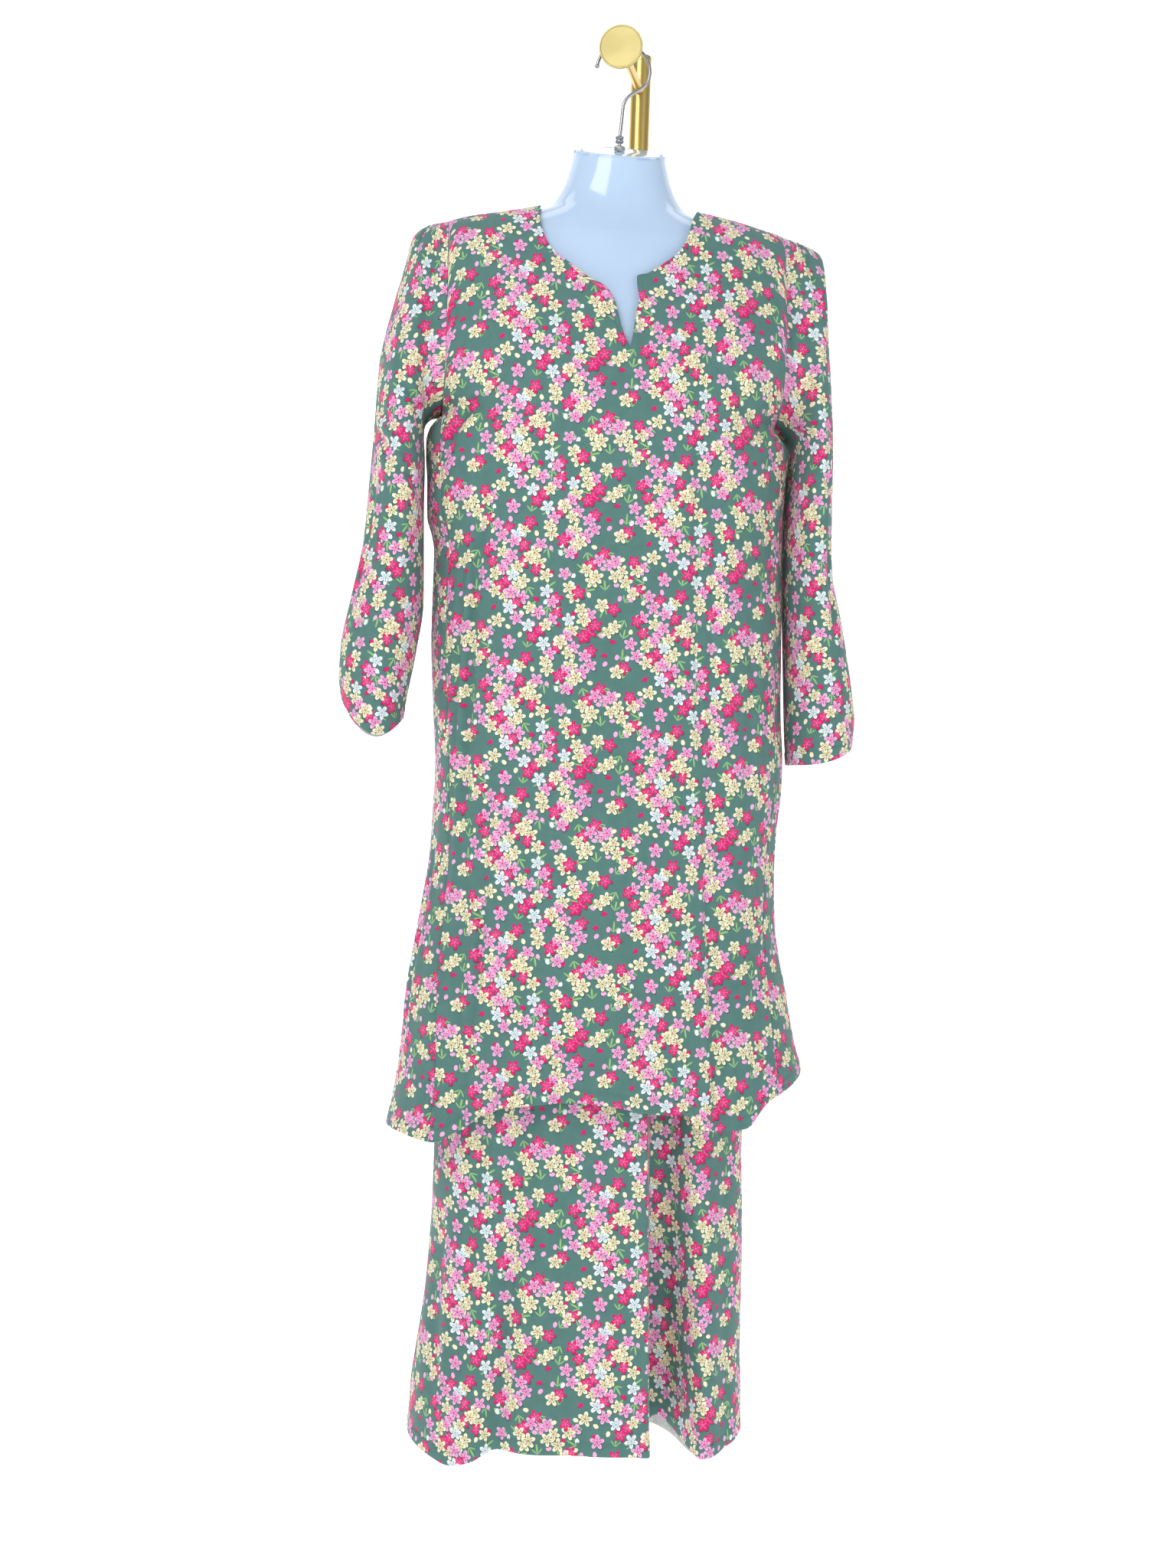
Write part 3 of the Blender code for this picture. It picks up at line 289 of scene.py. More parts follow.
SKIRT_FRONT_FOLDS = [
    Fold(-70, -90, 15, 0, 15, -640, -1365),
    Fold(-20, -16, 22, 0, 4, -760, -1365),
    Fold(128, 146, 9, 0, 5, -760, -1365),
]
SKIRT_BACK_FOLDS = [
    Fold(-88, -104, 17, 0, 16, -640, -1365),
    Fold(-22, -30, 19, 0, 13, -680, -1365),
    Fold(50, 58, 18, 0, 17, -640, -1365),
    Fold(112, 124, 14, 0, 10, -660, -1365),
]

# Creases lie in each piece's own cloth: across from its middle, along from the
# armpit level (negative down), lean in degrees from upright.
FRONT_CREASES = [
    Crease(84, -470, -3, 420, 5.5, 2.0),
    Crease(112, -860, -4, 330, 5.0, 2.2),
    Crease(62, -1000, 1, 300, 3.6, 1.9),
    Crease(-45, -980, 1, 240, 4.5, 1.5),
    Crease(-150, -560, 3, 420, 5.0, 3.0),
    Crease(-168, -640, 2, 520, 4.0, 2.2),
    Crease(-134, -880, 5, 260, 4.5, 2.4),
    Crease(-126, -760, 2, 300, 4.2, 1.6),
    Crease(-112, -985, 24, 90, 6.0, 2.2),
    Crease(-88, -968, 30, 70, 5.0, 1.6),
    Crease(-146, -1000, 16, 90, 5.0, 2.0),
    Crease(-176, -315, 38, 100, 6.0, 2.6),
    Crease(-150, -285, 50, 90, 6.0, 2.0),
    Crease(-120, -250, 58, 90, 7.0, 1.3),
    Crease(150, -300, -46, 100, 6.0, 2.2),
    Crease(122, -262, -55, 80, 7.0, 1.3),
    Crease(20, -240, -4, 90, 5.0, 1.2),
    Crease(-28, -255, 18, 80, 6.0, 1.1),
    Crease(-10, -620, 4, 260, 9.0, 0.9),
    Crease(24, -820, -3, 260, 8.0, 0.9),
    Crease(150, -980, -6, 180, 5.0, 1.8),
    Crease(-70, -430, 5, 240, 8.0, 1.0),
    Crease(150, -600, 2, 300, 6.0, 1.5),
]
BACK_CREASES = [
    Crease(-90, -520, -3, 420, 6.0, 2.0),
    Crease(96, -600, 3, 460, 6.0, 2.2),
    Crease(20, -820, 1, 320, 5.0, 1.8),
    Crease(-40, -900, -2, 260, 5.0, 1.6),
    Crease(150, -320, -40, 110, 6.0, 2.4),
    Crease(-155, -315, 42, 110, 6.0, 2.4),
    Crease(0, -220, 88, 150, 9.0, 1.6),
    Crease(-60, -250, 70, 110, 8.0, 1.3),
    Crease(70, -262, -72, 120, 8.0, 1.4),
    Crease(140, -900, -3, 260, 5.0, 2.0),
    Crease(-140, -880, 3, 280, 5.0, 1.8),
    Crease(-10, -480, 3, 200, 8.0, 1.0),
]
GORE_CREASES = [
    Crease(0, -470, 2, 260, 6.0, 1.6),
    Crease(-28, -760, -3, 320, 6.0, 2.4),
    Crease(24, -840, 3, 300, 6.0, 2.2),
    Crease(6, -940, 1, 160, 5.0, 1.8),
]
LEFT_SLEEVE_CREASES = [
    Crease(-60, -330, 62, 110, 5.0, 2.6),
    Crease(-78, -352, 50, 100, 4.5, 2.4),
    Crease(-50, -300, 70, 80, 5.0, 1.8),
    Crease(-92, -290, 40, 90, 4.5, 2.0),
    Crease(-110, -120, 16, 150, 6.0, 2.6),
    Crease(-86, -70, 30, 120, 6.0, 2.2),
    Crease(-40, -90, 12, 140, 6.0, 1.6),
    Crease(-34, -430, -8, 170, 5.0, 2.0),
    Crease(-74, -450, -5, 150, 5.0, 1.8),
    Crease(-10, -260, 6, 200, 7.0, 1.2),
    Crease(60, -330, -60, 110, 5.0, 2.2),
    Crease(84, -120, -14, 150, 6.0, 2.4),
    Crease(50, -440, 6, 150, 5.0, 1.8),
    Crease(16, -150, -4, 160, 7.0, 1.0),
]
RIGHT_SLEEVE_CREASES = [
    Crease(-70, -110, -8, 190, 5.0, 2.4),
    Crease(-100, -140, -12, 200, 6.0, 2.6),
    Crease(-40, -250, 3, 240, 6.0, 1.5),
    Crease(-66, -345, -58, 80, 5.0, 1.8),
    Crease(-84, -372, -48, 80, 4.5, 1.6),
    Crease(-58, -460, 4, 160, 5.0, 1.6),
    Crease(-24, -470, -3, 130, 5.0, 1.4),
    Crease(60, -350, 58, 110, 5.0, 2.0),
    Crease(86, -130, 14, 170, 6.0, 2.4),
    Crease(46, -460, -5, 150, 5.0, 1.8),
    Crease(14, -200, 4, 180, 7.0, 1.0),
]
SKIRT_FRONT_CREASES = [
    Crease(-122, -1130, 2, 330, 6.0, 2.2),
    Crease(-84, -1190, 3, 260, 5.0, 1.8),
    Crease(-30, -1130, -1, 280, 8.0, 1.2),
    Crease(16, -1180, 1, 260, 7.0, 1.1),
    Crease(-150, -1200, 3, 230, 5.0, 2.0),
    Crease(-60, -1270, -6, 130, 6.0, 1.5),
    Crease(-4, -1290, 4, 100, 6.0, 1.2),
    Crease(-104, -1020, 8, 120, 7.0, 1.2),
]
SKIRT_BACK_CREASES = [
    Crease(-120, -1100, 2, 380, 6.0, 2.2),
    Crease(-60, -1150, -2, 320, 6.0, 2.0),
    Crease(10, -1080, 1, 360, 6.0, 1.8),
    Crease(80, -1160, 3, 340, 6.0, 2.2),
    Crease(150, -1120, -2, 320, 5.0, 1.8),
]


class Profile:
    """Reads a table of sections at any height, smoothly and without overshoot."""

    def __init__(self, rows, key="z"):
        ordered = sorted(rows, key=lambda row: getattr(row, key))
        self.at = np.array([getattr(row, key) for row in ordered], dtype=float)
        self.columns = {
            name: np.array([getattr(row, name) for row in ordered], dtype=float)
            for name in ordered[0]._fields if name != key
        }

    def read(self, name, where):
        values = self.columns[name]
        slopes = np.diff(values) / np.diff(self.at)
        tangents = np.zeros_like(values)
        tangents[0] = slopes[0]
        tangents[-1] = slopes[-1]
        same_way = slopes[:-1] * slopes[1:] > 0
        both = slopes[:-1] + slopes[1:]
        middle = 2 * slopes[:-1] * slopes[1:] / np.where(same_way, both, 1.0)
        tangents[1:-1] = np.where(same_way, middle, 0.0)
        place = np.clip(np.asarray(where, dtype=float), self.at[0], self.at[-1])
        low = np.clip(np.searchsorted(self.at, place, side="right") - 1, 0, len(slopes) - 1)
        step = self.at[low + 1] - self.at[low]
        t = (place - self.at[low]) / step
        rise = t * t * (3 - 2 * t)
        start = t * (1 - t) ** 2 * step * tangents[low]
        end = t * t * (t - 1) * step * tangents[low + 1]
        return values[low] * (1 - rise) + values[low + 1] * rise + start + end


class Body:
    """A closed wall around the figure whose level sections are rounded boxes."""

    def __init__(self, sections):
        self.profile = Profile(sections)
        self.top = max(row.z for row in sections)

    def half_width(self, x_sign, z):
        side = np.where(np.asarray(x_sign) < 0, -1, 1)
        left = self.profile.read("left", z)
        right = self.profile.read("right", z)
        return np.where(side < 0, left, right)

    def half_depth(self, y_sign, z):
        front = self.profile.read("front", z)
        back = self.profile.read("back", z)
        return np.where(np.asarray(y_sign) < 0, front, back)

    def depth_at(self, x, y_sign, z):
        power = self.profile.read("power", z)
        share = np.clip(np.abs(x) / self.half_width(x, z), 0, 1)
        return self.half_depth(y_sign, z) * (1 - share ** power) ** (1 / power)

    def width_at(self, x_sign, y, z):
        power = self.profile.read("power", z)
        share = np.clip(np.abs(y) / self.half_depth(y, z), 0, 1)
        return self.half_width(x_sign, z) * (1 - share ** power) ** (1 / power)

    def ridge_z(self, x):
        """Height of the shoulder line above each x."""
        heights = np.linspace(self.top, ARMPIT_Z / 2, 400)
        left = np.interp(np.abs(x), self.half_width(-1, heights), heights)
        right = np.interp(np.abs(x), self.half_width(1, heights), heights)
        return np.where(np.asarray(x) < 0, left, right)


TUNIC_BODY = Body(TUNIC)
SKIRT_BODY = Body(SKIRT)


def smooth_step(t):
    t = np.clip(t, 0, 1)
    return t * t * (3 - 2 * t)


def fold_depth(folds, x, z):
    """How far the valleys of a table press the cloth in, at x and z."""
    total = np.zeros(np.broadcast(x, z).shape)
    for fold in folds:
        t = np.clip((z - fold.z_top) / (fold.z_low - fold.z_top), 0, 1)
        centre = fold.x_top + (fold.x_low - fold.x_top) * t
        depth = fold.depth_top + (fold.depth_low - fold.depth_top) * t
        above = np.clip(1 - (z - fold.z_top) / FOLD_FADE, 0, 1)
        below = np.clip(1 - (fold.z_low - z) / FOLD_FADE, 0, 1)
        total = total + depth * above * below * np.exp(-((x - centre) / fold.width) ** 2)
    return total


def crease_depth(creases, across, along):
    """Soft troughs with a low ridge on each side, at places in the cloth."""
    total = np.zeros(np.broadcast(across, along).shape)
    for crease in creases:
        lean = math.radians(crease.lean)
        dx = across - crease.across
        dz = along - crease.along
        run = dx * math.sin(lean) + dz * math.cos(lean)
        off = (dx * math.cos(lean) - dz * math.sin(lean)) / crease.width
        off = off + 0.35 * np.sin(run / crease.length * 5.0 + crease.across)
        reach = smooth_step(1.6 - 3.2 * np.abs(run) / crease.length)
        trough = np.exp(-off ** 2)
        ridges = np.exp(-(off - 1.9) ** 2) + np.exp(-(off + 1.9) ** 2)
        depth = crease.depth * CREASE_STRENGTH
        total = total + depth * reach * (trough - 0.42 * ridges)
    return total


def soft_waves(across, along, seed):
    """Slight, uneven undulation of hanging cloth."""
    waves = np.zeros(np.broadcast(across, along).shape)
    for index in range(1, 7):
        turn = seed * 1.7 + index * 2.4
        long = 0.009 + 0.007 * index
        tall = 0.004 + 0.0035 * ((index * 5 + seed) % 4)
        waves = waves + np.sin(across * long * 2.2 + along * tall * math.sin(turn) + turn) / index
    return 0.55 * waves


def calm_near(x, edge, start=0.80):
    t = np.clip((np.abs(x) / edge - start) / (1 - start), 0, 1)
    return 1 - t * t * (3 - 2 * t)


def seam_x(side, z):
    """Where the tunic's panel meets its gore."""
    return Profile(GORE_SEAM).read("share", z) * TUNIC_BODY.half_width(side, z)


def hem_z(table, x):
    return Profile(table, "x").read("z", x)


def pleat_run(z):
    """Share of the way from the start of the pleat down to the hem."""
    return (z - PLEAT_START_Z) / (PLEAT_LOW_Z - PLEAT_START_Z)


def pleat_centre(z):
    return PLEAT_CENTRE_TOP + (PLEAT_CENTRE_LOW - PLEAT_CENTRE_TOP) * np.clip(pleat_run(z), 0, 1)


def pleat_half(side, z):
    """Reach of the pleat's steep left wall (side -1) or its gentler right one (1)."""
    t = np.clip(pleat_run(z), 0, 1)
    left = PLEAT_LEFT_TOP + (PLEAT_LEFT_LOW - PLEAT_LEFT_TOP) * t
    right = PLEAT_RIGHT_TOP + (PLEAT_RIGHT_LOW - PLEAT_RIGHT_TOP) * t
    return np.where(np.asarray(side) < 0, left, right)


def pleat_depth(x, z):
    t = np.clip(pleat_run(z), 0, 1.1)
    away = x - pleat_centre(z)
    reach = np.abs(away) / pleat_half(away, z)
    power = np.where(away < 0, PLEAT_LEFT_POWER, PLEAT_RIGHT_POWER)
    return PLEAT_DEPTH * t ** PLEAT_SWELL * np.exp(-reach ** power)


def along_line(corners, shares):
    """Points at shares of a smooth line through its corners."""
    places = np.array([(edge.x, edge.z) for edge in corners], dtype=float)
    lengths = np.concatenate([[0], np.cumsum(np.linalg.norm(np.diff(places, axis=0), axis=1))])
    Spot = namedtuple("Spot", "at x z")
    line = Profile([Spot(a, *p) for a, p in zip(lengths, places)], "at")
    at = np.asarray(shares) * lengths[-1]
    return line.read("x", at), line.read("z", at)


def hem_shares(rows, length, turn=HEM_TURN, turn_rows=9):
    """Row places from 0 to 1 that crowd together over the turned hem."""
    fine = turn * 1.5 / length
    upper = np.linspace(0, 1 - fine, rows - turn_rows, endpoint=False)
    lower = np.linspace(1 - fine, 1, turn_rows + 1)
    return np.concatenate([upper, lower])


def edge_spread(count, widest=68.0):
    """Shares from -1 to 1, closer together near the sides."""
    angles = np.radians(np.linspace(-widest, widest, count))
    return np.sin(angles) / math.sin(math.radians(widest))


def grid_faces(rows, columns, closed=False):
    row, column = np.meshgrid(np.arange(rows - 1), np.arange(columns if closed else columns - 1),
                              indexing="ij")
    after = (column + 1) % columns
    top = row * columns
    low = top + columns
    return np.stack([top + column, low + column, low + after, top + after], axis=-1).reshape(-1, 4)


def grid_normals(points, closed=False):
    """Unit normals of a grid of points, rows by columns."""
    if closed:
        across = np.roll(points, -1, axis=1) - np.roll(points, 1, axis=1)
    else:
        across = np.gradient(points, axis=1)
    down = np.gradient(points, axis=0)
    normal = np.cross(down, across)
    return normal / np.maximum(np.linalg.norm(normal, axis=2, keepdims=True), 1e-9)


def seam_sink(distance):
    """How far cloth dips beside a seam, by distance from it."""
    return SEAM_SINK * np.exp(-(distance / SEAM_WIDTH) ** 2)


def hem_rise(distance):
    """The turned hem is a little proud, with a groove along its stitching."""
    turned = 0.55 * smooth_step((HEM_TURN + 1.2 - distance) / 2.4)
    groove = 0.45 * np.exp(-((distance - HEM_TURN) / 1.3) ** 2)
    return turned - groove


def row_lengths(points):
    """Distance along each row from its first point."""
    steps = np.linalg.norm(np.diff(points, axis=1), axis=2)
    return np.concatenate([np.zeros((len(points), 1)), np.cumsum(steps, axis=1)], axis=1)


def column_lengths(points):
    """Distance down each column from its top."""
    steps = np.linalg.norm(np.diff(points, axis=0), axis=2)
    return np.concatenate([np.zeros((1, points.shape[1])), np.cumsum(steps, axis=0)], axis=0)


# Materials


class Value:
    """A node's output that sums can be written with."""

    def __init__(self, finish, socket):
        self.finish = finish
        self.socket = socket

    def sum(self, operation, *values):
        return self.finish.node("Math", {"operation": operation}, values)

    def __add__(self, other):
        return self.sum("ADD", self, other)

    def __radd__(self, other):
        return self.sum("ADD", other, self)

    def __sub__(self, other):
        return self.sum("SUBTRACT", self, other)

    def __rsub__(self, other):
        return self.sum("SUBTRACT", other, self)

    def __mul__(self, other):
        return self.sum("MULTIPLY", self, other)

    def __rmul__(self, other):
        return self.sum("MULTIPLY", other, self)

    def __truediv__(self, other):
        return self.sum("DIVIDE", self, other)

    def __rtruediv__(self, other):
        return self.sum("DIVIDE", other, self)

    def __pow__(self, other):
        return self.sum("POWER", self, other)

    def __lt__(self, other):
        return self.sum("LESS_THAN", self, other)

    def __gt__(self, other):
        return self.sum("GREATER_THAN", self, other)

    def floor(self):
        return self.sum("FLOOR", self)

    def fract(self):
        return self.sum("FRACT", self)

    def cos(self):
        return self.sum("COSINE", self)

    def size(self):
        return self.sum("ABSOLUTE", self)

    def most(self, other):
        return self.sum("MAXIMUM", self, other)


class Finish:
    """One material and the nodes that make it."""

    def __init__(self, name, **constants):
        self.material = bpy.data.materials.new(name)
        self.material.use_nodes = True
        self.tree = self.material.node_tree
        self.shader = self.tree.nodes["Principled BSDF"]
        for key, value in constants.items():
            self.shader.inputs[key.replace("_", " ")].default_value = value

    def node(self, kind, settings=(), inputs=(), output=0):
        made = self.tree.nodes.new("ShaderNode" + kind)
        for key, value in dict(settings).items():
            if key == "stops":
                self.fill_ramp(made.color_ramp, value)
            else:
                setattr(made, key, value)
        pairs = inputs.items() if isinstance(inputs, dict) else enumerate(inputs)
        for key, value in pairs:
            if isinstance(value, Value):
                self.tree.links.new(value.socket, made.inputs[key])
            else:
                made.inputs[key].default_value = value
        return Value(self, made.outputs[output])

    def fill_ramp(self, ramp, stops):
        """Stops are places and colours, held flat from each place to the next."""
        ramp.interpolation = "CONSTANT"
        ramp.elements[0].position = stops[0][0]
        ramp.elements[0].color = stops[0][1]
        ramp.elements.remove(ramp.elements[-1])
        for place, colour in stops[1:]:
            ramp.elements.new(place).color = colour

    def mix(self, first, second, share):
        return self.node("Mix", {"data_type": "RGBA"}, {0: share, 6: first, 7: second}, output=2)

    def noise(self, place, scale, detail=2.0, output=0):
        inputs = {"Vector": place, "Scale": scale, "Detail": detail}
        return self.node("TexNoise", {}, inputs, output=output)

    def object_place(self):
        return self.node("TexCoord", {}, {}, output="Object")

    def stretched(self, place, scale):
        return self.node("Mapping", {}, {"Vector": place, "Scale": scale})

    def bump(self, height, distance, strength=1.0):
        inputs = {"Height": height, "Distance": distance, "Strength": strength}
        return self.node("Bump", {}, inputs)

    def feed(self, **inputs):
        for key, value in inputs.items():
            socket = self.shader.inputs[key.replace("_", " ")]
            if isinstance(value, Value):
                self.tree.links.new(value.socket, socket)
            else:
                socket.default_value = value
        return self.material


def linear(red, green, blue):
    """Screen colour, 0 to 255, as the linear colour that nodes use."""
    parts = []
    for part in (red, green, blue):
        share = part / 255
        parts.append(share / 12.92 if share <= 0.04045 else ((share + 0.055) / 1.055) ** 2.4)
    return (*parts, 1.0)


# What can be printed at a place: its letter in the charts, its colour and its marks' colour
Ink = namedtuple("Ink", "letter colour marks")
INKS = [
    Ink(".", linear(84, 126, 120), linear(84, 126, 120)),
    Ink("p", linear(240, 180, 224), linear(212, 34, 120)),
    Ink("c", linear(246, 240, 204), linear(150, 128, 84)),
    Ink("k", linear(220, 24, 110), linear(246, 116, 176)),
    Ink("w", linear(234, 242, 246), linear(150, 176, 186)),
    Ink("g", linear(166, 210, 136), linear(140, 190, 110)),
]
INK_STEP = 0.125
FLOWER_SMALLEST = 6.4
PETAL_LONG = 6.0
LEAF_LONG = 11.0
SHADOW = linear(26, 52, 50)

CHART_WIDE = 9
CHART_HIGH = 8
CHART_BAND = 3
Chart = namedtuple("Chart", "rows shift_across shift_along seed")
FLOWER_CHARTS = [
    Chart(("..kc...c.",
           ".kpkc..kp",
           ".p.kp.c..",
           "..kc..cp.",
           "c....kpk.",
           ".p..k.ckc",
           "....pk.p.",
           "k.cp.kc.."), 0.0, 0.0, 3.0),
    Chart((".pkc..c..",
           "..pck..c.",
           ".kc.c.p.k",
           "..pw.cpp.",
           ".k...pcp.",
           "cc..k.pk.",
           "..cp.pwc.",
           "c..k.p..c"), 5.7, 5.6, 11.0),
    Chart(("..cp.w.k.",
           ".pcw.cp.c",
           "c..pc...p",
           "k..p..kc.",
           ".cp.kc...",
           "c..p.wc..",
           "pk..wc..k",
           "...wc..c."), 11.4, 11.2, 19.0),
]


def repeat_cells(u, v, columns, rows, shift_across, shift_along):
    """Cell numbers, and place from the cell's middle, in the half-drop repeat."""
    across = (u + shift_across) / REPEAT_WIDE
    repeat = across.floor()
    column_place = (across - repeat) * columns
    row_place = ((v + shift_along) / REPEAT_HIGH + repeat * 0.5).fract() * rows
    column = column_place.floor()
    row = row_place.floor()
    x = (column_place - column - 0.5) * (REPEAT_WIDE / columns)
    y = (row_place - row - 0.5) * (REPEAT_HIGH / rows)
    return column, row, x, y


def cell_chances(finish, column, row, seed):
    """Four steady chances, from 0 to 1, for each cell."""
    cell = finish.node("CombineXYZ", {}, [column, row, seed])
    noise = finish.node("TexWhiteNoise", {"noise_dimensions": "3D"}, {"Vector": cell}, output=1)
    parts = finish.node("SeparateColor", {}, [noise])
    node = parts.socket.node
    fourth = finish.node("TexWhiteNoise", {"noise_dimensions": "3D"}, {"Vector": cell}, output=0)
    return [Value(finish, node.outputs[index]) for index in range(3)] + [fourth]


def chart_stops(letters):
    """One held stop for each run of like letters."""
    letter_order = "".join(ink.letter for ink in INKS)
    stops = []
    for index, letter in enumerate(letters):
        if index and letter == letters[index - 1]:
            continue
        shade = letter_order.index(letter) * INK_STEP
        stops.append((index / (CHART_BAND * CHART_WIDE), (shade, shade, shade, 1.0)))
    return stops


def chart_kind(finish, chart, column, row):
    """Ink number of a flower chart at a cell."""
    place = (row * CHART_WIDE + column + 0.5) / (CHART_BAND * CHART_WIDE)
    bands = []
    for first in range(0, CHART_HIGH, CHART_BAND):
        letters = "".join(chart.rows[first:first + CHART_BAND])
        shifted = place - first / CHART_BAND
        bands.append(finish.node("ValToRGB", {"stops": chart_stops(letters)}, [shifted]))
    in_first = place < 1.0
    in_second = (place < 2.0) - in_first
    in_third = place > 2.0
    return bands[0] * in_first + bands[1] * in_second + bands[2] * in_third


class Printing:
    """Lays motifs over each other: which ink, how much marking, how much shadow."""

    def __init__(self, finish):
        self.finish = finish
        self.ink = None
        self.marks = None
        self.shade = None

    def lay(self, inside, shadow, ink, marks):
        if self.ink is None:
            self.ink = inside * ink
            self.marks = inside * marks
            self.shade = shadow * (1 - inside)
            return
        outside = 1 - inside
        self.ink = self.ink * outside + inside * ink
        self.marks = self.marks * outside + inside * marks
        self.shade = self.shade.most(shadow) * outside

    def colour(self, ground):
        fills = [((i - 0.5) * INK_STEP if i else 0.0, ink.colour) for i, ink in enumerate(INKS)]
        strokes = [((i - 0.5) * INK_STEP if i else 0.0, ink.marks) for i, ink in enumerate(INKS)]
        fill = self.finish.node("ValToRGB", {"stops": fills}, [self.ink])
        stroke = self.finish.node("ValToRGB", {"stops": strokes}, [self.ink])
        printed = self.finish.mix(fill, stroke, self.marks)
        covered = self.ink > INK_STEP / 2
        whole = self.finish.mix(ground, printed, covered)
        return self.finish.mix(whole, SHADOW, self.shade * 0.8)


def lay_sprigs(finish, printing, u, v):
    """Fans of thin pale green leaves."""
    column, row, x, y = repeat_cells(u, v, 8, 7, 3.0, 9.0)
    slide_x, slide_y, turn, chance = cell_chances(finish, column, row, 31.0)
    x = x + slide_x * 4 - 2
    y = y + slide_y * 4 - 2
    radius = (x * x + y * y) ** 0.5
    angle = finish.node("Math", {"operation": "ARCTAN2"}, [y, x]) + turn * 6.2832
    forward = angle.cos().most(0.0)
    strokes = (angle * 4).cos().size() ** 3.2
    reach = forward ** 1.2 * strokes * LEAF_LONG
    inside = (radius < reach) * (chance < 0.62)
    printing.lay(inside, inside * 0, 5 * INK_STEP, radius / LEAF_LONG)


def lay_petals(finish, printing, u, v):
    """Single loose petals in the flowers' colours."""
    column, row, x, y = repeat_cells(u, v, 11, 10, 7.0, 2.0)
    slide_x, slide_y, turn, chance = cell_chances(finish, column, row, 47.0)
    x = x + slide_x * 5 - 2.5
    y = y + slide_y * 5 - 2.5
    radius = (x * x + y * y) ** 0.5
    angle = finish.node("Math", {"operation": "ARCTAN2"}, [y, x]) + turn * 6.2832
    reach = angle.cos().most(0.0) ** 2.4 * PETAL_LONG
    chosen = chance < 0.72
    inside = (radius < reach) * chosen
    shadow = (radius < reach + 0.6) * chosen * (y < 0.5)
    ink = ((chance * 5.5).floor() + 1) * INK_STEP
    printing.lay(inside, shadow, ink, 0.0 * radius)


def lay_flowers(finish, printing, u, v, chart):
    """Five-petalled flowers in the cells of one chart."""
    column, row, x, y = repeat_cells(u, v, CHART_WIDE, CHART_HIGH, chart.shift_across,
                                     chart.shift_along)
    slide_x, slide_y, turn, chance = cell_chances(finish, column, row, chart.seed)
    x = x + slide_x * 3.4 - 1.7
    y = y + slide_y * 3.4 - 1.7
    radius = (x * x + y * y) ** 0.5
    angle = finish.node("Math", {"operation": "ARCTAN2"}, [y, x]) * 2.5 + turn * 3.1416
    wave = angle.cos().size()
    size = chance * 1.1 + FLOWER_SMALLEST
    petals = (wave ** 0.75 * 0.84 + 0.20) * size
    ink = chart_kind(finish, chart, column, row)
    there = ink > INK_STEP / 2
    inside = (radius < petals) * there
    lean = (x * 0.5 - y * 0.87) / (radius + 0.01)
    shadow = (radius < petals + lean.most(0.0) * 1.1) * there
    share = radius / size
    stroke = (wave > 0.955) * (share < 0.6) * (share > 0.16)
    eye = share < 0.13
    marks = (stroke.most(eye)).most((0.85 - share) * 0.28)
    printing.lay(inside, shadow, ink, marks)


def printed_cloth(name, reverse=False):
    """Plain weave printed with small flowers; its reverse is pale with a faint print."""
    finish = Finish(name, Roughness=0.78, Sheen_Weight=0.12, Sheen_Roughness=0.5,
                    Specular_IOR_Level=0.3)
    cloth = finish.node("UVMap", {"uv_map": "cloth"})
    parts = finish.node("SeparateXYZ", {}, [cloth])
    u = parts * 1000
    v = Value(finish, parts.socket.node.outputs[1]) * 1000
    mottle = finish.noise(cloth, 90.0)
    ground = finish.mix(linear(78, 118, 113), linear(92, 134, 129), mottle)
    printing = Printing(finish)
    lay_sprigs(finish, printing, u, v)
    lay_petals(finish, printing, u, v)
    for chart in FLOWER_CHARTS:
        lay_flowers(finish, printing, u, v, chart)
    colour = printing.colour(ground)
    if reverse:
        colour = finish.mix(linear(196, 202, 200), colour, 0.16)
    warp = (u * 12.0).cos()
    weft = (v * 12.0).cos()
    height = warp * weft * 0.5 + mottle
    return finish.feed(Base_Color=colour, Normal=finish.bump(height, 0.00006, 0.5))


def milky_plastic():
    finish = Finish("milky_plastic", Roughness=0.16, Coat_Weight=0.35, Coat_Roughness=0.06,
                    Subsurface_Weight=0.25, Subsurface_Scale=0.02, Specular_IOR_Level=0.5)
    finish.shader.inputs["Subsurface Radius"].default_value = (0.7, 0.9, 1.0)
    place = finish.object_place()
    cloudy = finish.noise(place, 14.0, 3.0)
    colour = finish.mix(linear(188, 212, 242), linear(200, 224, 250), cloudy)
    scuffs = finish.noise(finish.stretched(place, (60.0, 60.0, 9.0)), 9.0, 5.0)
    rough = scuffs * 0.10 + 0.10
    ripple = finish.noise(place, 24.0, 2.0)
    return finish.feed(Base_Color=colour, Roughness=rough,
                       Normal=finish.bump(ripple, 0.0004, 0.35))


def gold(name, dark, pale, low_rough, stretch):
    """Plated metal with fine brushing along one way."""
    finish = Finish(name, Metallic=1.0)
    place = finish.object_place()
    brushing = finish.noise(finish.stretched(place, stretch), 40.0, 4.0)
    cloud = finish.noise(place, 30.0, 3.0)
    colour = finish.mix(dark, pale, cloud)
    rough = brushing * 0.16 + low_rough
    return finish.feed(Base_Color=colour, Roughness=rough,
                       Normal=finish.bump(brushing, 0.00008, 0.5))


def bright_metal(name, colour, dull, low_rough):
    finish = Finish(name, Metallic=1.0)
    place = finish.object_place()
    spots = finish.noise(place, 260.0, 5.0)
    shade = finish.mix(colour, dull, (spots - 0.45).most(0.0) * 2.2)
    return finish.feed(Base_Color=shade, Roughness=spots * 0.12 + low_rough,
                       Normal=finish.bump(spots, 0.00003, 0.4))


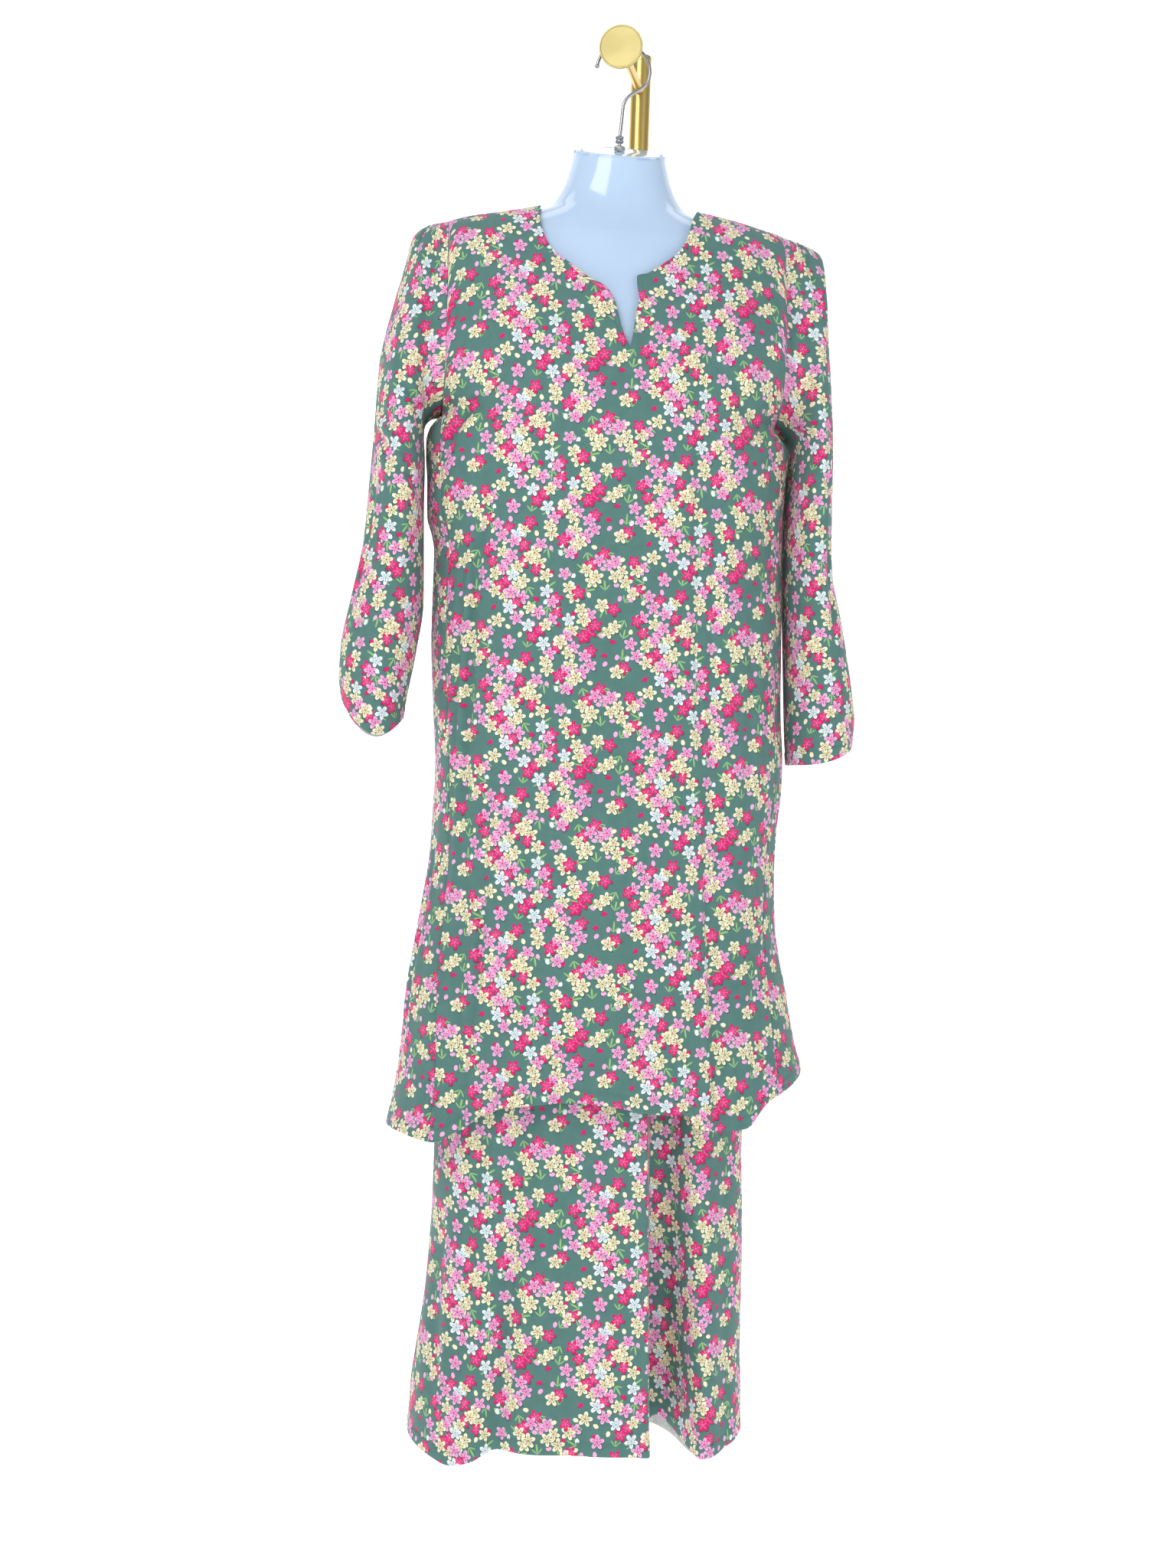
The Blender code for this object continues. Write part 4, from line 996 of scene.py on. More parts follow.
def sewing_thread():
    finish = Finish("sewing_thread", Roughness=0.6)
    place = finish.object_place()
    twist = finish.noise(place, 900.0, 2.0)
    colour = finish.mix(linear(70, 112, 96), linear(104, 150, 130), twist)
    return finish.feed(Base_Color=colour, Normal=finish.bump(twist, 0.0001, 0.6))


def studio_paper():
    finish = Finish("studio_paper", Roughness=0.9, Emission_Strength=0.62)
    place = finish.object_place()
    cloud = finish.noise(place, 3.0)
    tone = finish.mix((0.93, 0.93, 0.93, 1), (0.95, 0.95, 0.95, 1), cloud)
    return finish.feed(Base_Color=tone, Emission_Color=tone)


MATERIALS = {
    "cloth": printed_cloth("printed_cloth"),
    "reverse": printed_cloth("cloth_reverse", reverse=True),
    "plastic": milky_plastic(),
    "chrome": bright_metal("chrome_wire", (0.40, 0.40, 0.41, 1), (0.32, 0.32, 0.33, 1), 0.20),
    "steel": bright_metal("steel_nut", (0.55, 0.58, 0.55, 1), (0.36, 0.40, 0.36, 1), 0.24),
    "gold": gold("satin_gold", (0.58, 0.42, 0.13, 1), (0.68, 0.51, 0.18, 1), 0.22, (1, 1, 0.04)),
    "pale_gold": gold("pale_gold", (0.46, 0.39, 0.17, 1), (0.52, 0.45, 0.20, 1), 0.42, (1, 1, 1)),
    "thread": sewing_thread(),
    "paper": studio_paper(),
}


# Making cloth


def open_sheet(name, points, cloth_place, faces, weld=False):
    """A single sheet with its place in the cloth as its UV map."""
    mesh = bpy.data.meshes.new(name)
    mesh.from_pydata(((points + NECK_PLACE) * MM).tolist(), [], faces.tolist())
    layer = mesh.uv_layers.new(name="cloth")
    corners = np.zeros(len(mesh.loops), dtype=np.int32)
    mesh.loops.foreach_get("vertex_index", corners)
    layer.data.foreach_set("uv", (cloth_place[corners] * MM).astype(np.float32).ravel())
    mesh.validate()
    sheet = bpy.data.objects.new(name, mesh)
    bpy.context.scene.collection.objects.link(sheet)
    mesh.shade_smooth()
    if weld:
        shape = bmesh.new()
        shape.from_mesh(mesh)
        bmesh.ops.remove_doubles(shape, verts=shape.verts, dist=0.00002)
        shape.to_mesh(mesh)
        shape.free()
    return sheet


def select_only(thing):
    bpy.ops.object.select_all(action="DESELECT")
    thing.select_set(True)
    bpy.context.view_layer.objects.active = thing


def apply_modifiers(thing):
    select_only(thing)
    for modifier in list(thing.modifiers):
        bpy.ops.object.modifier_apply(modifier=modifier.name)


def thicken(sheet, thickness=CLOTH):
    """Gives a sheet its wall, inwards, with the cloth's reverse inside."""
    sheet.data.materials.append(MATERIALS["cloth"])
    sheet.data.materials.append(MATERIALS["reverse"])
    wall = sheet.modifiers.new("wall", "SOLIDIFY")
    wall.thickness = thickness * MM
    wall.offset = -1
    wall.use_quality_normals = True
    wall.material_offset = 1
    apply_modifiers(sheet)


def declare_cloth(sheet):
    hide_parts(sheet.name.replace("_cloth", ""))
    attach(sheet, "root")


def front_half(side, neckline, rows_neck, rows_chest, shares_low, columns):
    """Places, in x and z, of one half of the front, from its middle to its outer edge."""
    armhole = ARMHOLE_LEFT if side < 0 else ARMHOLE_RIGHT
    outer_x = side * (armhole - HALF_GAP)
    even = np.arange(rows_neck + 1) / rows_neck
    crowd = even ** SHOULDER_CROWDING
    neck_x, neck_z = along_line(neckline, even ** NECK_CROWDING)
    top_z = float(TUNIC_BODY.ridge_z(outer_x))
    side_low = SLIT_LOW_Z - 14
    outer_z = top_z + (side_low - top_z) * crowd
    chest = np.linspace(0, 1, rows_chest + 1)[1:]
    inner_chest = SLIT_LOW_Z + (ARMPIT_Z + 5 - SLIT_LOW_Z) * chest
    outer_chest = side_low + (ARMPIT_Z - side_low) * chest
    hem_x = side * (float(seam_x(side, HEM_LEVEL)) - HALF_GAP)
    hem_in = float(hem_z(TUNIC_FRONT_HEM, 0.0))
    hem_out = float(hem_z(TUNIC_FRONT_HEM, hem_x))
    inner_low = ARMPIT_Z + 5 + (hem_in - ARMPIT_Z - 5) * shares_low[1:]
    outer_low = ARMPIT_Z + (hem_out - ARMPIT_Z) * shares_low[1:]
    inner_z = np.concatenate([neck_z, inner_chest, inner_low])
    outer_z = np.concatenate([outer_z, outer_chest, outer_low])
    below = inner_z[rows_neck + 1:]
    middle = SLIT_X * np.clip((below + 400) / (SLIT_LOW_Z + 400), 0, 1)
    inner_x = np.concatenate([neck_x, middle])
    edge_x = np.where(outer_z > ARMPIT_Z, outer_x, side * (seam_x(side, outer_z) - HALF_GAP))
    across = np.linspace(0, 1, columns)
    share = (1 - (1 - across) ** 1.35)[None, :]
    x = inner_x[:, None] * (1 - share) + edge_x[:, None] * share
    z = inner_z[:, None] * (1 - share) + outer_z[:, None] * share
    ridge = TUNIC_BODY.ridge_z(x[0]) - z[0]
    fade = np.zeros(len(x))
    fade[:rows_neck + 1] = (1 - crowd) ** 2
    z = z + fade[:, None] * ridge[None, :]
    drop = hem_z(TUNIC_FRONT_HEM, x[-1]) - z[-1]
    settle = np.zeros(len(x))
    settle[-len(shares_low):] = shares_low
    z = z + settle[:, None] * drop[None, :]
    return x, z


def upper_cloth_place(x, z, y_sign, folds, edge):
    """Cloth coordinates on the tunic's panels, with the print kept upright."""
    heights = np.linspace(ARMPIT_Z, TUNIC_BODY.top, 240)
    stations = np.linspace(-226, 226, 181)
    grid_x, grid_z = np.meshgrid(stations, heights)
    depth = TUNIC_BODY.depth_at(grid_x, y_sign, grid_z)
    steps = np.hypot(np.diff(depth, axis=0), np.diff(grid_z, axis=0))
    climb = np.concatenate([np.zeros((1, len(stations))), np.cumsum(steps, axis=0)])
    row = np.clip((z - ARMPIT_Z) / (heights[1] - heights[0]), 0, len(heights) - 1.001)
    column = np.clip((x + 226) / (stations[1] - stations[0]), 0, len(stations) - 1.001)
    r, c = row.astype(int), column.astype(int)
    fr, fc = row - r, column - c
    along = (climb[r, c] * (1 - fr) * (1 - fc) + climb[r + 1, c] * fr * (1 - fc)
             + climb[r, c + 1] * (1 - fr) * fc + climb[r + 1, c + 1] * fr * fc)
    v = np.where(z > ARMPIT_Z, ARMPIT_Z + along, z)
    level_z = np.minimum(z, -215.0)
    fine = np.linspace(0, 1, 60)
    track = x[..., None] * fine
    press = fold_depth(folds, track, level_z[..., None]) * calm_near(track, edge[..., None])
    bulge = TUNIC_BODY.depth_at(track, y_sign, level_z[..., None]) - press
    u = np.sign(x) * np.hypot(np.diff(track, axis=-1), np.diff(bulge, axis=-1)).sum(axis=-1)
    return u, v


def panel_points(x, z, y_sign, folds, creases, seed):
    """Outer face of a front or back panel, with its folds and creases."""
    edge = np.where(z > ARMPIT_Z, ARMHOLE_LEFT, seam_x(x, z))
    press = fold_depth(folds, x, z) * calm_near(x, edge)
    depth = np.maximum(TUNIC_BODY.depth_at(x, y_sign, z) - press, HALF_GAP)
    points = np.stack([x, y_sign * depth, z], axis=2)
    normal = grid_normals(points)
    normal *= np.sign((normal[..., 1] * y_sign).mean())
    u, v = upper_cloth_place(x, z, y_sign, folds, edge)
    top = np.clip((TUNIC_BODY.ridge_z(x) - z) / 30, 0, 1)
    relief = crease_depth(creases, u, v) + soft_waves(u, v, seed)
    return points, normal, u, v, relief * top


def make_tunic_front():
    """Front panel in two halves that meet below the slit."""
    rows_neck, rows_chest, columns = 84, 24, 66
    shares_low = hem_shares(165, 700)
    parts = []
    for side, neckline in ((-1, LEFT_NECKLINE), (1, RIGHT_NECKLINE)):
        x, z = front_half(side, neckline, rows_neck, rows_chest, shares_low, columns)
        points, normal, u, v, relief = panel_points(x, z, -1, FRONT_FOLDS, FRONT_CREASES, 1)
        lengths = row_lengths(points)
        to_side = lengths[:, -1:] - lengths
        down = column_lengths(points)
        to_hem = down[-1:] - down
        near_neck = np.zeros(len(x))
        near_neck[:rows_neck] = 1
        piping = near_neck[:, None] * 0.5 * np.exp(-(lengths / 2.2) ** 2)
        shoulder = seam_sink(down)
        relief = relief * smooth_step(to_side / 14)
        lift = hem_rise(to_hem) + piping - relief - seam_sink(to_side) - shoulder * 0.6
        middle = np.zeros_like(lift)
        middle[rows_neck + 1:, 0] = 1
        points = points + normal * (lift * (1 - middle) + middle * lift)[..., None]
        parts.append((points, u, v, normal))
    left, right = parts
    seam = (left[0][rows_neck:, 0] + right[0][rows_neck:, 0]) / 2
    left[0][rows_neck:, 0] = seam
    right[0][rows_neck:, 0] = seam
    faces = grid_faces(len(left[0]), columns)
    count = left[0].shape[0] * columns
    points = np.vstack([left[0].reshape(-1, 3), right[0].reshape(-1, 3)])
    place = np.vstack([np.stack([part[1].ravel(), part[2].ravel()], axis=1) for part in parts])
    both = np.vstack([faces[:, ::-1], faces + count])
    sheet = open_sheet("tunic_front_cloth", points, place, both, weld=True)
    thicken(sheet)
    declare_cloth(sheet)
    return parts, rows_neck


def make_tunic_back():
    columns, rows_top, shares_low = 130, 66, hem_shares(165, 700)
    spread = edge_spread(columns)
    armhole = np.where(spread < 0, ARMHOLE_LEFT, ARMHOLE_RIGHT) - HALF_GAP
    upper_x = spread * armhole
    neck = hem_z(BACK_NECKLINE, upper_x)
    inside = (upper_x > -82) & (upper_x < 80.5)
    ridge = TUNIC_BODY.ridge_z(upper_x)
    top_z = np.where(inside, np.minimum(neck, ridge), ridge)
    crowd = ((np.arange(rows_top + 1) / rows_top) ** SHOULDER_CROWDING)[:, None]
    even = (np.arange(rows_top + 1) / rows_top)[:, None]
    way = np.where(inside[None, :], even * 0.5 + crowd * 0.5, crowd)
    z_top = top_z[None, :] + (ARMPIT_Z - top_z)[None, :] * way
    x_top = np.repeat(upper_x[None, :], rows_top + 1, axis=0)
    hem_x = spread * np.where(spread < 0, seam_x(-1, HEM_LEVEL), seam_x(1, HEM_LEVEL))
    low_z = hem_z(TUNIC_BACK_HEM, hem_x)
    z_low = ARMPIT_Z + (low_z - ARMPIT_Z)[None, :] * shares_low[1:, None]
    x_low = spread[None, :] * (seam_x(spread[None, :], z_low) - HALF_GAP)
    x = np.vstack([x_top, x_low])
    z = np.vstack([z_top, z_low])
    points, normal, u, v, relief = panel_points(x, z, 1, BACK_FOLDS, BACK_CREASES, 4)
    lengths = row_lengths(points)
    to_side = np.minimum(lengths, lengths[:, -1:] - lengths)
    down = column_lengths(points)
    relief = relief * smooth_step(to_side / 14)
    lift = hem_rise(down[-1:] - down) - relief - seam_sink(to_side) - 0.6 * seam_sink(down)
    points = points + normal * lift[..., None]
    faces = grid_faces(len(x), columns)[:, ::-1]
    place = np.stack([-u.ravel(), v.ravel()], axis=1)
    sheet = open_sheet("tunic_back_cloth", points.reshape(-1, 3), place, faces)
    thicken(sheet)
    declare_cloth(sheet)
    return points, normal


def make_gore(name, side):
    """Side piece that widens from the armpit to the hem."""
    columns = 41
    shares = hem_shares(165, 700)
    share = np.linspace(-1, 1, columns)
    y_sign = np.where(share < 0, -1, 1)
    hem_seam = side * seam_x(side, HEM_LEVEL)
    hem_y = np.abs(share) * TUNIC_BODY.depth_at(hem_seam, y_sign, HEM_LEVEL)
    hem_x = side * TUNIC_BODY.width_at(side, hem_y * y_sign, HEM_LEVEL)
    low_z = np.where(share < 0, hem_z(TUNIC_FRONT_HEM, hem_x), hem_z(TUNIC_BACK_HEM, hem_x))
    z = ARMPIT_Z + (low_z - ARMPIT_Z)[None, :] * shares[:, None]
    near_seam = side * (seam_x(side, z) + HALF_GAP)
    y = share[None, :] * TUNIC_BODY.depth_at(near_seam, y_sign[None, :], z)
    x = side * TUNIC_BODY.width_at(side, y, z)
    points = np.stack([x, y, np.minimum(z, ARMPIT_Z - GORE_DROP)], axis=2)
    normal = grid_normals(points)
    normal *= np.sign((normal[..., 0] * side).mean())
    lengths = row_lengths(points)
    u = lengths - lengths[:, -1:] / 2
    to_seam = np.minimum(lengths, lengths[:, -1:] - lengths)
    down = column_lengths(points)
    calm = smooth_step(to_seam / 14)
    relief = (crease_depth(GORE_CREASES, u * side, z) + soft_waves(u, z, 7 + side)) * calm
    lift = hem_rise(down[-1:] - down) - relief - seam_sink(to_seam)
    points = points + normal * lift[..., None]
    faces = grid_faces(len(points), columns)
    if side < 0:
        faces = faces[:, ::-1]
    place = np.stack([u.ravel() + 61.0, z.ravel() + 23.0], axis=1)
    sheet = open_sheet(name + "_cloth", points.reshape(-1, 3), place, faces)
    thicken(sheet)
    declare_cloth(sheet)
    return points, normal


def sleeve_cloth_place(points, side, rows):
    """Distance round a sleeve, level by level, from its outer line, and its girth there."""
    outer = Profile([Edge(row.outer_x, row.outer_z) for row in rows[1:]])
    inner = Profile([Edge(row.inner_x, row.inner_z) for row in rows])
    deep = Profile([Edge(row.depth, (row.outer_z + row.inner_z) / 2) for row in rows[1:]])
    x, y, z = side * points[..., 0], points[..., 1], points[..., 2]
    out_x = np.maximum(outer.read("x", z), x)
    in_x = np.minimum(inner.read("x", z), x)
    half = np.maximum((out_x - in_x) / 2, 4.0)
    depth = deep.read("x", z)
    middle = (out_x + in_x) / 2
    shift = points[..., 1].mean(axis=1, keepdims=True)
    turn = np.arctan2((y - shift) / depth, (x - middle) / half)
    fine = np.linspace(0, 1, 48)
    track = turn[..., None] * fine
    steps = np.hypot(half[..., None] * np.diff(np.cos(track), axis=-1),
                     depth[..., None] * np.diff(np.sin(track), axis=-1))
    around = math.pi * fine
    girth = 2 * np.hypot(half[..., None] * np.diff(np.cos(around)),
                         depth[..., None] * np.diff(np.sin(around))).sum(axis=-1)
    return np.sign(turn) * steps.sum(axis=-1), girth


def make_sleeve(name, side, table, creases):
    """Open tube from the armhole down to the cuff."""
    sides, rings = 104, 176
    armhole = ARMHOLE_LEFT if side < 0 else ARMHOLE_RIGHT
    start_x = armhole + HALF_GAP
    top_z = float(TUNIC_BODY.ridge_z(side * armhole))
    angles = np.linspace(0, 2 * math.pi, sides, endpoint=False)
    rise = (np.cos(angles) + 1) / 2
    first_z = ARMPIT_Z + (top_z - ARMPIT_Z) * rise
    first_sign = np.where(np.sin(angles) < 0, -1, 1)
    first_y = TUNIC_BODY.depth_at(side * armhole, first_sign, first_z) * first_sign
    first_y = np.where(np.isclose(np.sin(angles), 0), 0, first_y)
    widest = np.abs(first_y).max()
    rows = [Ring(start_x, top_z, start_x, ARMPIT_Z, widest, 0, 0)] + list(table)
    keyed = namedtuple("Keyed", ("at",) + Ring._fields)
    profile = Profile([keyed(index, *row) for index, row in enumerate(rows)], "at")
    along = hem_shares(rings - 1, 520, turn_rows=11) * (len(rows) - 1)
    oval = np.sign(np.sin(angles)) * np.abs(np.sin(angles)) ** (2 / SLEEVE_POWER)
    outer_x = profile.read("outer_x", along)[:, None]
    inner_x = profile.read("inner_x", along)[:, None]
    outer_z = profile.read("outer_z", along)[:, None]
    inner_z = profile.read("inner_z", along)[:, None]
    depth = profile.read("depth", along)[:, None]
    shift = profile.read("shift", along)[:, None]
    bow = profile.read("bow", along)[:, None] * 4 * rise * (1 - rise)
    settled = np.clip(along / 3, 0, 1)[:, None]
    across = (1 - settled) * first_y / widest + settled * oval
    points = np.stack([
        side * (inner_x + (outer_x - inner_x) * rise),
        depth * across + shift,
        inner_z + (outer_z - inner_z) * rise - bow,
    ], axis=2)
    normal = grid_normals(points, closed=True)
    away = points - points.mean(axis=1, keepdims=True)
    normal *= np.sign((normal * away).sum(axis=2).mean())
    centre = points.mean(axis=1)
    run = np.concatenate([[0], np.cumsum(np.linalg.norm(np.diff(centre, axis=0), axis=1))])
    u, girth = sleeve_cloth_place(points, side, rows)
    v = points[..., 2]
    underarm = girth / 2 - np.abs(u)
    down = run[:, None] + 0 * u
    relief = crease_depth(creases, u, v) + soft_waves(u, v, 9 + side)
    relief = relief * smooth_step(down / 16)
    lift = hem_rise(run[-1] - down) - relief - seam_sink(underarm) - seam_sink(down)
    points = points + normal * lift[..., None]
    seam = angles.argmin() + sides // 2
    order = np.concatenate([np.arange(seam, sides), np.arange(0, seam + 1)])
    laid = points[:, order]
    laid_u = u[:, order].copy()
    seam_sign = np.sign(laid_u[:, 1].mean())
    laid_u[:, 0] = seam_sign * girth[:, seam] / 2
    laid_u[:, -1] = -seam_sign * girth[:, seam] / 2
    faces = grid_faces(len(laid), sides + 1)
    place = np.stack([laid_u.ravel(), v[:, order].ravel() - 61.0], axis=1)
    sheet = open_sheet(name + "_cloth", laid.reshape(-1, 3), place, faces, weld=True)
    face_outward(sheet, laid)
    thicken(sheet)
    declare_cloth(sheet)
    return points, normal


def face_outward(sheet, laid):
    """Turns a tube's faces to point away from its middle."""
    middle = Vector(((laid[len(laid) // 2].mean(axis=0) + NECK_PLACE) * MM).tolist())
    shape = bmesh.new()
    shape.from_mesh(sheet.data)
    near = min(shape.faces, key=lambda face: (face.calc_center_median() - middle).length)
    if near.normal.dot(near.calc_center_median() - middle) < 0:
        bmesh.ops.reverse_faces(shape, faces=shape.faces)
    shape.to_mesh(sheet.data)
    shape.free()


def skirt_press_front(x, z):
    return pleat_depth(x, z) + fold_depth(SKIRT_FRONT_FOLDS, x, z)


def skirt_press_back(x, z):
    return fold_depth(SKIRT_BACK_FOLDS, x, z)


def front_skirt_shares(z):
    """Column places across the front: crowded on the pleat's walls."""
    centre = pleat_centre(z)
    stations = np.concatenate([
        np.linspace(-1.6, -1.28, 4), np.linspace(-1.22, -0.72, 24), np.linspace(-0.66, -0.1, 6),
        np.linspace(0.0, 0.3, 5), np.linspace(0.36, 1.44, 30), np.linspace(1.5, 1.8, 5),
    ])
    half = pleat_half(stations[None, :], z[:, None])
    pleat = centre[:, None] + half * stations[None, :]
    left = SKIRT_BODY.half_width(-1, z)[:, None]
    right = SKIRT_BODY.half_width(1, z)[:, None]
    first = np.arcsin(np.clip(pleat[:, :1] / left, -1, 1))
    last = np.arcsin(np.clip(pleat[:, -1:] / right, -1, 1))
    way_left = np.linspace(0, 1, 71)[None, :-1]
    way_right = np.linspace(0, 1, 29)[None, 1:]
    before = left * np.sin(-math.pi / 2 + (first + math.pi / 2) * way_left)
    after = right * np.sin(last + (math.pi / 2 - last) * way_right)
    return np.hstack([before, pleat, after])


def make_skirt_panel(name, y_sign, hem_table, press, creases, seed):
    shares = hem_shares(190, 880)
    if y_sign < 0:
        hem_row = front_skirt_shares(np.array([PLEAT_LOW_Z]))[0]
    else:
        turns = np.linspace(-math.pi / 2, math.pi / 2, 132)
        hem_row = np.sin(turns) * SKIRT_BODY.half_width(turns, PLEAT_LOW_Z)
    low_z = hem_z(hem_table, hem_row)
    z = SKIRT_BODY.top + (low_z - SKIRT_BODY.top)[None, :] * shares[:, None]
    if y_sign < 0:
        x = np.zeros_like(z)
        for column in range(len(hem_row)):
            x[:, column] = front_skirt_shares(z[:, column])[:, column]
    else:
        x = np.sin(turns)[None, :] * SKIRT_BODY.half_width(turns[None, :], z)
    calm = calm_near(x, SKIRT_BODY.half_width(x, z), 0.90)
    depth = SKIRT_BODY.depth_at(x, y_sign, z) - press(x, z) * calm
    y = y_sign * depth
    y[:, 0] = y_sign * HALF_GAP
    y[:, -1] = y_sign * HALF_GAP
    points = np.stack([x, y, z], axis=2)
    normal = grid_normals(points)
    normal *= np.sign((normal[..., 1] * y_sign).mean())
    lengths = row_lengths(points)
    if y_sign < 0:
        middle = int(np.abs(hem_row).argmin())
        u = lengths - lengths[:, middle:middle + 1]
        recess = 70 + 27
        from_right = lengths[:, -1:] - lengths
        total = float(u[0, -1])
        u = np.where(np.arange(len(hem_row))[None, :] > recess, total - from_right, u)
    else:
        u = -(lengths - lengths[:, -1:] / 2)
    to_side = np.minimum(lengths, lengths[:, -1:] - lengths)
    down = column_lengths(points)
    relief = crease_depth(creases, x, z) + soft_waves(x, z, seed)
    lift = hem_rise(down[-1:] - down) - relief * smooth_step(down / 20) - seam_sink(to_side)
    points = points + normal * lift[..., None]
    faces = grid_faces(len(points), len(hem_row))
    if y_sign > 0:
        faces = faces[:, ::-1]
    place = np.stack([u.ravel() + 40.0, z.ravel() + 48.0], axis=1)
    sheet = open_sheet(name + "_cloth", points.reshape(-1, 3), place, faces)
    thicken(sheet)
    declare_cloth(sheet)
    return points, normal


def make_waistband():
    """Band that fits the waist of the form and carries the skirt."""
    sides = 120
    turns = np.linspace(0, 2 * math.pi, sides, endpoint=False)
    levels = np.linspace(BAND_TOP_Z, BAND_LOW_Z, 9)
    half = 127.5 + BAND_EASE + BAND_CLOTH
    front = 91.0 + BAND_EASE + BAND_CLOTH
    back = 89.0 + BAND_EASE + BAND_CLOTH
    flare = np.abs(levels - (-440)) * 0.02
    power = 2 / 2.2
    x = np.sign(np.cos(turns)) * np.abs(np.cos(turns)) ** power
    y = np.sign(np.sin(turns)) * np.abs(np.sin(turns)) ** power
    depth = np.where(y < 0, front, back)
    ruck = 0.35 * np.sin(turns * 60)
    points = np.stack([
        (half + flare[:, None] + ruck) * x,
        (depth + flare[:, None] + ruck) * y,
        np.repeat(levels[:, None], sides, axis=1),
    ], axis=2)
    u = turns / (2 * math.pi) * 690
    order = np.concatenate([np.arange(sides), [0]])
    laid = points[:, order]
    across = np.concatenate([u, [690.0]])
    place = np.stack([np.repeat(across[None, :], len(levels), axis=0).ravel(),
                      laid[..., 2].ravel()], axis=1)
    faces = grid_faces(len(levels), sides + 1)
    sheet = open_sheet("skirt_waistband_cloth", laid.reshape(-1, 3), place, faces, weld=True)
    face_outward(sheet, laid)
    thicken(sheet, BAND_CLOTH)
    declare_cloth(sheet)


def make_rolled_edge(parts, rows_neck):
    """The left lapel's edge, which rolls outwards and shows its turned printed side."""
    points = parts[0][0]
    u, v = parts[0][1], parts[0][2]
    first, last = 44, rows_neck - 4
    rows = np.arange(first, last + 1)
    way = (rows - first) / (last - first)
    width = 9.5 * np.sin(math.pi * way) ** 0.8 + 0.4
    steps = np.linspace(0, 1, 9)
    lengths = row_lengths(points)
    laid = np.zeros((len(rows), len(steps), 3))
    place = np.zeros((len(rows), len(steps), 2))
    normal = grid_normals(points)
    normal *= -np.sign(normal[..., 1].mean())
    for index, row in enumerate(rows):
        for step, share in enumerate(steps):
            reach = width[index] * share
            at = [np.interp(reach, lengths[row], points[row, :, axis]) for axis in range(3)]
            out = [np.interp(reach, lengths[row], normal[row, :, axis]) for axis in range(3)]
            rise = 0.5 + 2.6 * math.sin(math.pi * min(share * 1.15, 1.0)) + 0.5 * share
            rise *= 0.35 + 0.65 * math.sin(math.pi * way[index])
            laid[index, step] = np.array(at) + np.array(out) * rise
            place[index, step] = (u[row, 0] + reach, v[row, 0])
    faces = grid_faces(len(rows), len(steps))[:, ::-1]
    sheet = open_sheet("neck_roll", laid.reshape(-1, 3), place.reshape(-1, 2), faces)
    sheet.data.materials.append(MATERIALS["cloth"])
    wall = sheet.modifiers.new("wall", "SOLIDIFY")
    wall.thickness = 0.35 * MM
    wall.offset = -1
    apply_modifiers(sheet)
    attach(sheet, "root")
    return sheet


def line_from_edge(points, normal, distance):
    """Places and directions of a line at a distance from the last row's edge."""
    down = column_lengths(points)
    to_edge = (down[-1:] - down)[::-1]
    places = np.zeros((points.shape[1], 3))
    ways = np.zeros((points.shape[1], 3))
    for column in range(points.shape[1]):
        for axis in range(3):
            near = to_edge[:, column]
            places[column, axis] = np.interp(distance, near, points[::-1, column, axis])
            ways[column, axis] = np.interp(distance, near, normal[::-1, column, axis])
    return places, ways


def make_stitches(name, lines):
    """Rows of small thread stitches that lie on the cloth along each line."""
    corners = []
    faces = []
    for places, ways in lines:
        steps = np.linalg.norm(np.diff(places, axis=0), axis=1)
        run = np.concatenate([[0], np.cumsum(steps)])
        for start in np.arange(STITCH_PITCH, run[-1] - STITCH_PITCH, STITCH_PITCH):
            at = [[np.interp(start + way, run, places[:, axis]) for axis in range(3)]
                  for way in (0.0, STITCH_LONG)]
            out = np.array([np.interp(start, run, ways[:, axis]) for axis in range(3)])
            out = out / np.linalg.norm(out)
            head, tail = np.array(at)
            along = (tail - head) / np.linalg.norm(tail - head)
            beside = np.cross(along, out) * STITCH_THICK
            middle = (head + tail) / 2 + out * STITCH_THICK * 0.4
            first = len(corners)
            corners += [head, tail, middle + beside, middle + out * STITCH_THICK,
                        middle - beside, middle - out * STITCH_THICK]
            for turn in range(4):
                here = first + 2 + turn
                after = first + 2 + (turn + 1) % 4
                faces.append((first, here, after))
                faces.append((first + 1, after, here))
    mesh = bpy.data.meshes.new(name)
    mesh.from_pydata(((np.array(corners) + NECK_PLACE) * MM).tolist(), [], faces)
    mesh.validate()
    stitches = bpy.data.objects.new(name, mesh)
    bpy.context.collection.objects.link(stitches)
    mesh.materials.append(MATERIALS["thread"])
    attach(stitches, "root")
    return stitches


# Hard pieces, drawn up ring by ring from a circle


